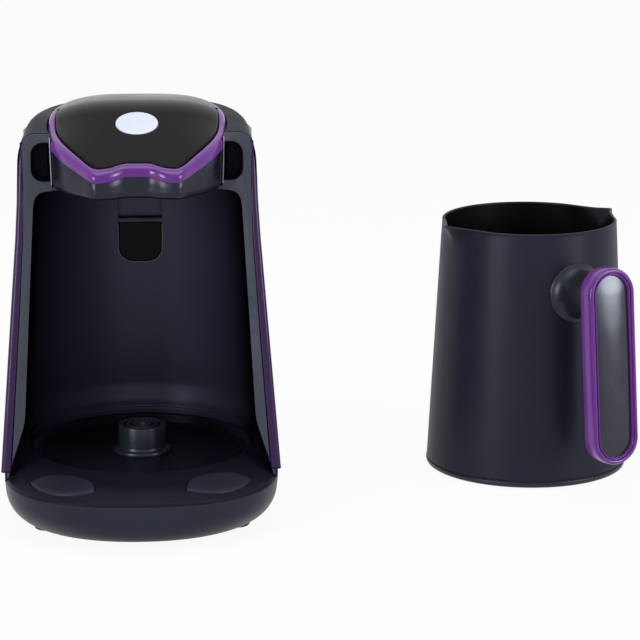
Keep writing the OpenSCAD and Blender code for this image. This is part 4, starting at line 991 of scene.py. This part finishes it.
def jug_ring(inset, z):
    """Line round the jug at height z, pulled in by inset, with the two pressed lips near the rim."""
    away = np.abs((AROUND + math.pi / 2) % math.pi - math.pi / 2)
    rise = np.clip((z - LIP_FOOT_Z) / (RIM_Z - LIP_FOOT_Z), 0, 1) ** 2.6
    r = jug_r(z) - inset
    r = r + rise * (7.0 * np.exp(-(away / 0.14) ** 1.3) - 0.5 * np.exp(-((away - 0.40) / 0.12) ** 2))
    droop = rise * 0.5 * np.exp(-(away / 0.12) ** 2)
    return rows(r * np.cos(AROUND), r * np.sin(AROUND), z + droop - 0.5 * rise)


LIP_Z = (149, 148, 146.7, 145.2, 143.5, 141.5, 139.5, 137, LIP_FOOT_Z, 130, 115, 90, 60)
middle = np.zeros((len(AROUND), 3))
jug_rings = [middle + (0, 0, 18.6)]
for inset, z in ((30, 18.6), (3.2, 18.6), (1.6, 17.6), (1.4, 16), (1.4, 6), (1.25, 5.2), (0.15, 5.2),
                 (0, 5.6), (0, 6.5), (0, 30), *((0, z) for z in LIP_Z[:0:-1]), (0, 149.3),
                 (-0.12, 149.65), (-0.05, 149.95), (0.3, 150.25), (0.8, 150.32), (1.25, 150.15), (1.5, 149.7),
                 *((1.5, z) for z in LIP_Z), (1.5, 40), (1.5, 27), (1.7, 24), (2.5, 21.9), (4.1, 20.5),
                 (6.5, 20.0), (24, 19.95), (44, 19.95)):
    jug_rings.append(jug_ring(inset, z))
jug = piece("jug_body", [loft(jug_rings + [middle + (0, 0, 19.95)])], in_jug, sharp=42)
# The jug's slate is painted light: lighter at its turning edges, a painted sheen, while its shine fades there
# to a twentieth, a painted shade.
jug_slate = facing_painted_gloss("jug_slate", (0.019, 0.0205, 0.031), (0.0085, 0.009, 0.0165), 0.36, 1500.0, 0, 0.2,
                  (0.8, 0.82, 1), 0.5, 0.05)
coating = moulding("jug_coating", (0.0012, 0.0012, 0.002), 0.42, size=1100.0, uneven=0.15, worn=0.3,
                   shine=0.16)
paint(jug, jug_slate, coating)
axis = Vector(JUG_AXIS) * 0.001
for f in jug.data.polygons:
    spot = f.center - axis
    inward = f.normal.x * spot.x + f.normal.y * spot.y < -0.2 * math.hypot(spot.x, spot.y)
    if 0.0199 < f.center.z < 0.1492 and (inward or f.normal.z > 0.3):
        f.material_index = 1
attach(jug, "jug")
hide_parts("jug_shell")

# ------------------------ jug foot
# Moulded ring under the jug. It carries the socket, stands in the seat on a round runner,
# and a shadow groove parts it from the metal.
FOOT_RING = [(16.55, 1), (40, 1), (40.3, 0.35), (41, 0.02), (48, 0.02), (48.7, 0.35), (49, 1), (57.1, 1),
             (58.3, 1.15), (59.1, 1.7), (59.5, 2.5), (59.6, 3.3), (59.6, 3.95), (59.45, 4.2), (58.8, 4.3),
             (58.8, 4.75), (58.4, 5.1), (57.3, 5.1), (57.3, 8.6), (55.2, 8.6), (55.2, 3.6), (16.55, 3.6),
             (16.55, 1)]
ring = piece("jug_base_ring", [lathe(FOOT_RING, 160)], in_jug, sharp=40)
foot_plastic = moulding("foot_plastic", (0.011, 0.012, 0.017), 0.38, depth=0.00004)
paint(ring, foot_plastic)
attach(ring, "jug")
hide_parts("jug_foot")

# ------------------------ handle stub
# Moulded round stub that flares onto the jug's wall. Two screws from inside the handle run
# through it and hold the handle off the wall.
STUB_Z = 115
HANDLE_SEAT, HANDLE_LEAN = (0, -80, 78.5), 5.5
STUB = [(17.3, 0.05), (17.35, 0.5), (17.1, 0.95), (16.5, 1.35), (15.6, 1.9), (14.6, 2.9), (13.8, 4.2),
        (13.2, 5.8), (12.8, 7.8), (12.55, 10), (12.5, 12)]


def handle_back(z):
    """Depth of the handle's back at height z."""
    return HANDLE_SEAT[1] + (np.asarray(z, float) - HANDLE_SEAT[2]) * math.tan(math.radians(HANDLE_LEAN))


def stub_ring(radius, out, share):
    """Line round the stub, out from the jug's wall and share of the way to the handle's leaning back."""
    x, z = radius * np.cos(AROUND[::2]), STUB_Z + radius * np.sin(AROUND[::2])
    wall = -np.sqrt(jug_r(z) ** 2 - x ** 2) - out
    return rows(x, wall * (1 - share) + (handle_back(z) + 0.06) * share, z)


stub_rings = [stub_ring(0.01, 0.05, 0), stub_ring(9, 0.05, 0)] + [stub_ring(r, o, 0) for r, o in STUB]
stub_rings += [stub_ring(12.5, 12, s) for s in (0.3, 0.65, 1)] + [stub_ring(0.01, 12, 1)]
stub = piece("handle_stub", [loft(stub_rings)], in_jug, sharp=40)
handle_plastic = moulding("handle_plastic", (0.010, 0.011, 0.0155), 0.32, depth=0.00002)
paint(stub, handle_plastic)
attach(stub, "jug")
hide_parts("handle_bracket")

# ------------------------ handle
# Three layers clipped together: a dark back, a grooved ring of purple gloss that wraps round
# its edge, and a satin black grip that stands slightly domed inside the ring.
def on_handle(points):
    """Millimetres on the handle, +Y up it and +Z out of it, to metres in the row frame."""
    p = np.asarray(points, float) @ np.array(Matrix.Rotation(math.radians(90 - HANDLE_LEAN), 3, "X")).T
    return in_jug(p + HANDLE_SEAT)


def stadium(inset, z, width=30, length=113):
    """Line round a bar with round ends, pulled in by inset."""
    r, middle = width / 2 - inset, (length - width) / 2
    t = np.linspace(0, math.pi, 22)
    top = rows(r * np.cos(t), middle + r * np.sin(t))
    half = np.vstack([top, rows(-r, np.linspace(middle, -middle, 11)[1:-1])])
    return level(np.vstack([half, -half]), z)


back_edge = [(3.6, 0), (2.4, 0.18), (1.5, 0.6), (1.05, 1.2), (0.95, 2.0), (0.95, 7.5), (1.1, 7.9), (1.4, 8.0)]
back = piece("handle_back", [loft([stadium(i, z) for i, z in back_edge], ends=True)], on_handle, sharp=45)
paint(back, handle_plastic)
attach(back, "jug")
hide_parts("handle_shell")

RING = [(0.85, 2.3), (0.45, 2.4), (0.12, 2.8), (0, 3.4), (0, 11.2), (0.12, 12.1), (0.45, 12.8), (0.95, 13.2),
        (1.5, 13.32), (2.1, 13.25), (2.55, 12.95), (2.72, 12.6), (2.72, 11.9), (3.12, 11.9), (3.12, 12.7),
        (3.25, 13.05), (3.55, 13.2), (3.85, 13.05), (4.0, 12.7), (4.0, 8.1), (0.85, 8.1), (0.85, 2.3)]
hoop = piece("handle_ring", [loft([stadium(i, z) for i, z in RING])], on_handle, sharp=50)
# The ring takes the trim's purple, with its painted sheen at the turning edges.
paint(hoop, trim_purple_painted_sheen)
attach(hoop, "jug")
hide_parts("handle_trim")

GRIP_DROOP = 1.7
grip_edge = [(4.15, 8.1), (4.15, 11.2), (4.3, 11.6), (4.7, 11.85), (5.6, 12.15), (7, 12.47), (9, 12.78),
             (11.5, 12.98), (13.5, 13.03), (14.9995, 13.04)]
grip_rings = [stadium(i, z) for i, z in grip_edge]
for line in grip_rings[1:]:
    line[:, 2] -= GRIP_DROOP * (np.abs(line[:, 1]) / 52) ** 2 * np.clip((line[:, 2] - 11) / 2, 0, 1)
grip = piece("handle_grip", [loft(grip_rings, ends=True)], on_handle, sharp=40)
grip_black = moulding("grip_black", (0.0115, 0.0115, 0.0175), 0.22, size=1300.0, depth=0.00001, uneven=0.08,
                      shine=0.5)
paint(grip, grip_black)
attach(grip, "jug")
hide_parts("handle_face")

# ------------------------ contacts, boards and heater
# The pieces inside keep their CAD shape. Their pressed, turned or soldered surfaces get the
# finish of the real ones, and their round faces are smoothed.
def dress(material, *names):
    """Gives CAD nodes a material and smooth round faces."""
    for name in names:
        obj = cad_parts[name]
        smoothed = obj.modifiers.new("smooth", "NODES")
        smoothed.node_group = rounded
        paint(obj, material)


rounded, r_in, r_out = node_group("smooth_round_faces", "GeometryNodeTree", ("Mesh", "INPUT", "Geometry"),
                                  ("Mesh", "OUTPUT", "Geometry"))
weld = node(rounded, "GeometryNodeMergeByDistance", Geometry=r_in.outputs[0], Distance=2e-6)
r_angle = node(rounded, "GeometryNodeInputMeshEdgeAngle").outputs["Unsigned Angle"]
r_test = node(rounded, "FunctionNodeCompare", r_angle, math.radians(32), operation="GREATER_THAN")
r_faces = node(rounded, "GeometryNodeSetShadeSmooth", Geometry=weld.outputs[0])
r_edges = node(rounded, "GeometryNodeSetShadeSmooth", domain="EDGE", Geometry=r_faces.outputs[0],
               Selection=r_test.outputs[0], Shade_Smooth=False)
feed(rounded, r_out, r_edges.outputs[0])

brass = moulding("contact_brass", (0.62, 0.42, 0.17), 0.28, size=2600.0, depth=0.00001, uneven=0.15,
                 metal=1.0)
aluminium = moulding("heater_aluminium", (0.62, 0.63, 0.65), 0.36, size=1900.0, depth=0.00002, uneven=0.1,
                     metal=1.0)
ceramic = moulding("fired_ceramic", (0.72, 0.68, 0.58), 0.5, size=1500.0, depth=0.00004, uneven=0.08)
board_green = moulding("board_green", (0.012, 0.075, 0.028), 0.34, size=420.0, depth=0.00001, uneven=0.2,
                       coat=0.3)
clear = moulding("light_guide", (0.78, 0.82, 0.88), 0.12, size=300.0, depth=0.000005, uneven=0.03, worn=0.0,
                 coat=0.3, spread=0.02)
dress(brass, "tower_contacts", "socket_contacts")
dress(steel, "tower_lock_ring", "board_screws", "heating_element", "jug_screws", "handle_screws")
dress(aluminium, "heater_plate")
dress(ceramic, "thermostat", "switch_plunger")
dress(board_green, "sensor_board", "control_board", "power_board")
dress(moulding("case_black", (0.012, 0.012, 0.014), 0.42, size=1600.0), "switch_body", "buzzer", "jug_socket")
dress(moulding("relay_blue", (0.02, 0.09, 0.34), 0.38, depth=0.00002), "relay")
tape = moulding("winding_tape", (0.58, 0.42, 0.05), 0.4, size=600.0, depth=0.00004, uneven=0.15)
dress(tape, "transformer")
dress(rubber, "cord_gland")
dress(moulding("silicone_seal", (0.32, 0.055, 0.035), 0.6, size=1000.0, depth=0.00004), "foot_seal")
dress(clear, "status_led", "button_stem")

# ------------------------ update of the view layer
bpy.context.view_layer.update()
